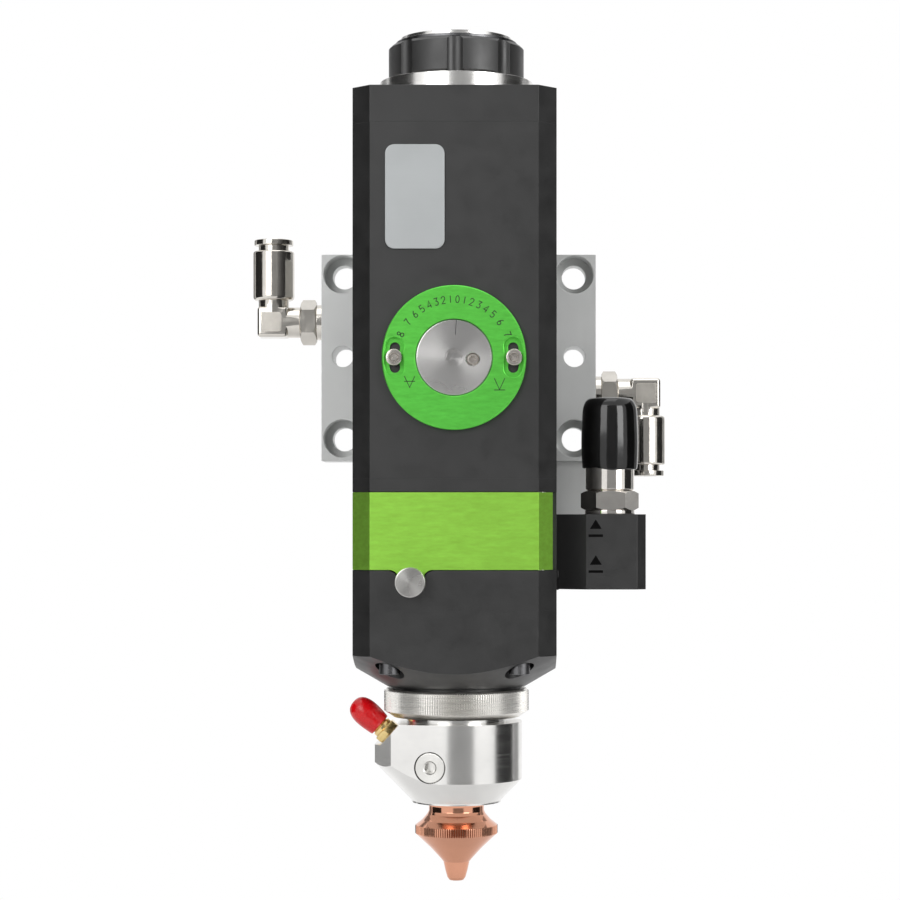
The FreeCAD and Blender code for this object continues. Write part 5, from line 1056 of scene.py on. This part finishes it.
def make_gas_side():
    show("gas_block_body", bevelled(cad_copy("gas_block"), 0.25), BODY_BLACK, "gas_block",
         smooth=FLATS)
    show("gas_bracket", bevelled(cad_copy("block_bracket"), 0.25), PLATE_SILVER,
         "block_bracket", smooth=FLATS)
    fitting = at(GAS_ACROSS, GAS_DEEP, 0)
    sleeve = turned(eased([(3, -64.9), (6.5, -64.9, 0.4), (6.5, -54.5), (7.6, -54.5),
                           (7.6, -48), (8.3, -47.4, 0.3), (8.3, -26, 0.7), (6.75, -26, 0.2),
                           (6.75, -39), (5.1, -39), (5.1, -44), (3, -44)], 0.08), 144)
    hexed = carved(nut(17, -54.5, -48, chamfer=1.0), rod(7.4, -56, -47))
    body = joined(sleeve, hexed)
    body.transform(fitting)
    show("gas_fitting_body", body, CHROME, "gas_fitting")
    washer = turned(eased([(6.55, -55.9), (8.5, -55.9, 0.3), (8.5, -54.5, 0.3), (6.55, -54.5)],
                          0.1), 96)
    washer.transform(fitting)
    show("gas_seal_washer", washer, CHROME, "gas_washer")
    collet = turned(eased([(5.1, -37), (6.7, -37), (6.7, -24), (7.8, -24, 0.3),
                           (7.8, -22, 0.4), (5.1, -22, 0.5)], 0.15), 96)
    collet.transform(fitting)
    show("gas_release_ring", collet, NICKEL, "gas_collet")

    # The cap: a dipped sleeve, a little swollen at mid height, with an uneven hem
    skin = flowing([(9.0, -40.5), (9.35, -40.1), (9.55, -36), (9.65, -30), (9.5, -24.5),
                    (9.3, -20.8), (8.9, -18.9), (8.0, -17.3), (6.6, -16.65), (3, -16.55),
                    (0, -16.55)])
    cap = turned([(8.4, -40.5)] + skin + [(0, -19.95), (6.0, -19.95), (7.6, -20.6),
                                          (8.4, -22.4)], 128)
    for vert in cap.verts:
        if vert.co.z < -39.0:
            angle = math.atan2(vert.co.y, vert.co.x)
            vert.co.z += 0.45 * math.sin(angle * 2 + 0.8) + 0.2 * math.sin(angle * 5)
    cap.transform(fitting)
    show("black_cap", uneven(cap, 0.09, 5.5, 1), BLACK_VINYL, "gas_cap", smooth=60)

    # Dark triangle and bar marks on the block's front, near black and with almost no sheen
    marks = []
    for height in (-61.0, -73.0):
        marks.append(prism([(-2.0, -1.2), (2.0, -1.2), (0, 2.0)], 0, 0.02,
                           Matrix.Translation((0, height + 1.4, 0))))
        marks.append(prism([(-2.4, -0.5), (2.4, -0.5), (2.4, 0.35), (-2.4, 0.35)], 0, 0.02,
                           Matrix.Translation((0, height - 2.0, 0))))
    whole = joined(*marks)
    whole.transform(at(46.9, -12.0, 0, FRONT))
    show("flow_marks", whole, BLOCK_MARK, slot="black_anodised", body="root")


# ---------------------------------------------------------------- kept solids

KEPT = {
    "channel_plug": SCREW_STEEL, "collimator_barrel": BARREL_SILVER, "collimator_lens": GLASS,
    "collimator_retainer": INNER_BLACK, "block_screws": SCREW_STEEL, "hinge_pin": SCREW_STEEL,
    "duct_seal": SEAL_RUBBER, "bracket_screws": SCREW_STEEL, "focus_carriage": INNER_BLACK,
    "carriage_seal": SEAL_RUBBER, "focus_lens": GLASS, "focus_retainer": INNER_BLACK,
    "dial_seal": SEAL_RUBBER, "door_screw_clip": DARK_STEEL_AND_POCKET_SHADE, "drawer": BARREL_SILVER,
    "window_glass": GLASS, "window_retainer": INNER_BLACK, "window_seal": SEAL_RUBBER,
    "sensor_seal": SEAL_RUBBER, "insulator": CERAMIC, "nozzle_holder": SENSOR_STEEL,
    "coax_insulator": FLUOROPOLYMER, "coax_contact": GOLD,
}


def dress_kept():
    for node, material in KEPT.items():
        thing = frame["nodes"][node]
        thing.data.materials.clear()
        thing.data.materials.append(material)


# ---------------------------------------------------------------- room, lamps, camera

def backdrop_rays(tree):
    """1 for the rays that are to meet a plain white background: camera, gloss and glass."""
    rays = tree.nodes.new("ShaderNodeLightPath")
    either = tree.nodes.new("ShaderNodeMath")
    either.operation = "MAXIMUM"
    tree.links.new(rays.outputs["Is Camera Ray"], either.inputs[0])
    tree.links.new(rays.outputs["Is Glossy Ray"], either.inputs[1])
    whole = tree.nodes.new("ShaderNodeMath")
    whole.operation = "MAXIMUM"
    tree.links.new(either.outputs[0], whole.inputs[0])
    tree.links.new(rays.outputs["Is Transmission Ray"], whole.inputs[1])
    return whole.outputs[0]


def make_room():
    """A pale floor that looks white to the camera and still takes a soft shadow."""
    bm = bmesh.new()
    bmesh.ops.create_grid(bm, x_segments=1, y_segments=1, size=6)
    mesh = bpy.data.meshes.new("floor")
    bm.to_mesh(mesh)
    bm.free()
    floor = bpy.data.objects.new("floor", mesh)
    floor.location = (0, 0, FLOOR)
    bpy.context.scene.collection.objects.link(floor)
    paint = bpy.data.materials.new("pale_floor")
    paint.use_nodes = True
    tree = paint.node_tree
    shader = tree.nodes["Principled BSDF"]
    shader.inputs["Base Color"].default_value = (0.86, 0.86, 0.86, 1)
    shader.inputs["Roughness"].default_value = 0.9
    glow = tree.nodes.new("ShaderNodeEmission")
    place = tree.nodes.new("ShaderNodeTexCoord")
    far = tree.nodes.new("ShaderNodeVectorMath")
    far.operation = "LENGTH"
    tree.links.new(place.outputs["Object"], far.inputs[0])
    fade = tree.nodes.new("ShaderNodeMapRange")
    for label, value in (("From Min", 0.05), ("From Max", 0.60), ("To Min", 0.20),
                         ("To Max", 1.0)):
        fade.inputs[label].default_value = value
    tree.links.new(far.outputs["Value"], fade.inputs["Value"])
    seen = tree.nodes.new("ShaderNodeMath")
    seen.operation = "MULTIPLY"
    tree.links.new(fade.outputs["Result"], seen.inputs[1])
    blend = tree.nodes.new("ShaderNodeMixShader")
    tree.links.new(backdrop_rays(tree), seen.inputs[0])
    tree.links.new(seen.outputs[0], blend.inputs[0])
    tree.links.new(shader.outputs[0], blend.inputs[1])
    tree.links.new(glow.outputs[0], blend.inputs[2])
    tree.links.new(blend.outputs[0], tree.nodes["Material Output"].inputs["Surface"])
    mesh.materials.append(paint)


def make_sky():
    """White to the camera and in metal and glass. It sheds a softer, even light."""
    world = bpy.data.worlds.new("studio")
    bpy.context.scene.world = world
    world.use_nodes = True
    tree = world.node_tree
    tree.nodes.clear()
    studio = tree.nodes.new("ShaderNodeBackground")
    studio.inputs["Color"].default_value = (1, 1, 1, 1)
    studio.inputs["Strength"].default_value = 0.60
    white = tree.nodes.new("ShaderNodeBackground")
    white.inputs["Color"].default_value = (1, 1, 1, 1)
    blend = tree.nodes.new("ShaderNodeMixShader")
    tree.links.new(backdrop_rays(tree), blend.inputs[0])
    tree.links.new(studio.outputs[0], blend.inputs[1])
    tree.links.new(white.outputs[0], blend.inputs[2])
    leave = tree.nodes.new("ShaderNodeOutputWorld")
    tree.links.new(blend.outputs[0], leave.inputs["Surface"])


# Cards round the head: degrees from the front, to the right positive, and a shade. They are
# what gives bright metal its dark bands in a white room, and the camera doesn't see them.
CARDS = [
    ("left_flag", -118, -62, 0.015), ("right_flag", 70, 116, 0.015),
    ("front_card", -12, 30, 0.48), ("right_rear_card", 118, 140, 0.45),
    ("left_rear_card", -150, -124, 0.35),
]
CARD_REACH = 1.25
CARD_LOW = FLOOR + 0.001
CARD_HIGH = 0.75


def make_cards():
    for name, start, end, shade in CARDS:
        bm = bmesh.new()
        steps = 8
        columns = []
        for step in range(steps + 1):
            angle = math.radians(start + (end - start) * step / steps)
            x, y = CARD_REACH * math.sin(angle), -CARD_REACH * math.cos(angle)
            columns.append((bm.verts.new((x, y, CARD_LOW)), bm.verts.new((x, y, CARD_HIGH))))
        for near, far in zip(columns, columns[1:]):
            bm.faces.new((near[0], far[0], far[1], near[1]))
        mesh = bpy.data.meshes.new(name)
        bm.to_mesh(mesh)
        bm.free()
        card = bpy.data.objects.new(name, mesh)
        bpy.context.scene.collection.objects.link(card)
        card.visible_camera = False
        paint = bpy.data.materials.new(name)
        paint.use_nodes = True
        shader = paint.node_tree.nodes["Principled BSDF"]
        shader.inputs["Base Color"].default_value = (shade, shade, shade, 1)
        shader.inputs["Roughness"].default_value = 0.9
        mesh.materials.append(paint)


def make_lamps():
    lamps = [
        ("left_panel", (-0.55, -1.25, 0.45), 0.8, 5.0),
        ("right_panel", (0.85, -1.05, 0.30), 0.7, 7.0),
        ("top_panel", (0.0, -0.25, 1.1), 0.9, 3.0),
    ]
    for name, place, size, power in lamps:
        data = bpy.data.lights.new(name, "AREA")
        data.shape = "SQUARE"
        data.size = size
        data.energy = power
        lamp = bpy.data.objects.new(name, data)
        lamp.location = place
        aim = Vector((0, -0.05, -0.03)) - Vector(place)
        lamp.rotation_euler = aim.to_track_quat("-Z", "Y").to_euler()
        bpy.context.scene.collection.objects.link(lamp)


def make_camera():
    data = bpy.data.cameras.new("camera")
    data.sensor_width = 36
    data.lens = 95.8
    data.shift_x = -0.0667
    data.shift_y = 0.0767
    data.clip_start = 0.05
    camera = bpy.data.objects.new("camera", data)
    camera.location = (0.0182, -(SETBACK + BODY_HALF + CAMERA_DISTANCE) * MM, -0.0575)
    camera.rotation_euler = (math.pi / 2, 0, 0)
    bpy.context.scene.collection.objects.link(camera)
    bpy.context.scene.camera = camera
    bpy.context.scene.view_settings.view_transform = "Standard"


make_plate()
make_body()
make_top()
make_dial()
make_cover()
make_lock_ring()
make_sensor()
make_nozzle()
for elbow_side in (-1, 1):
    make_elbow(elbow_side)
make_gas_side()
dress_kept()
make_room()
make_sky()
make_cards()
make_lamps()
make_camera()
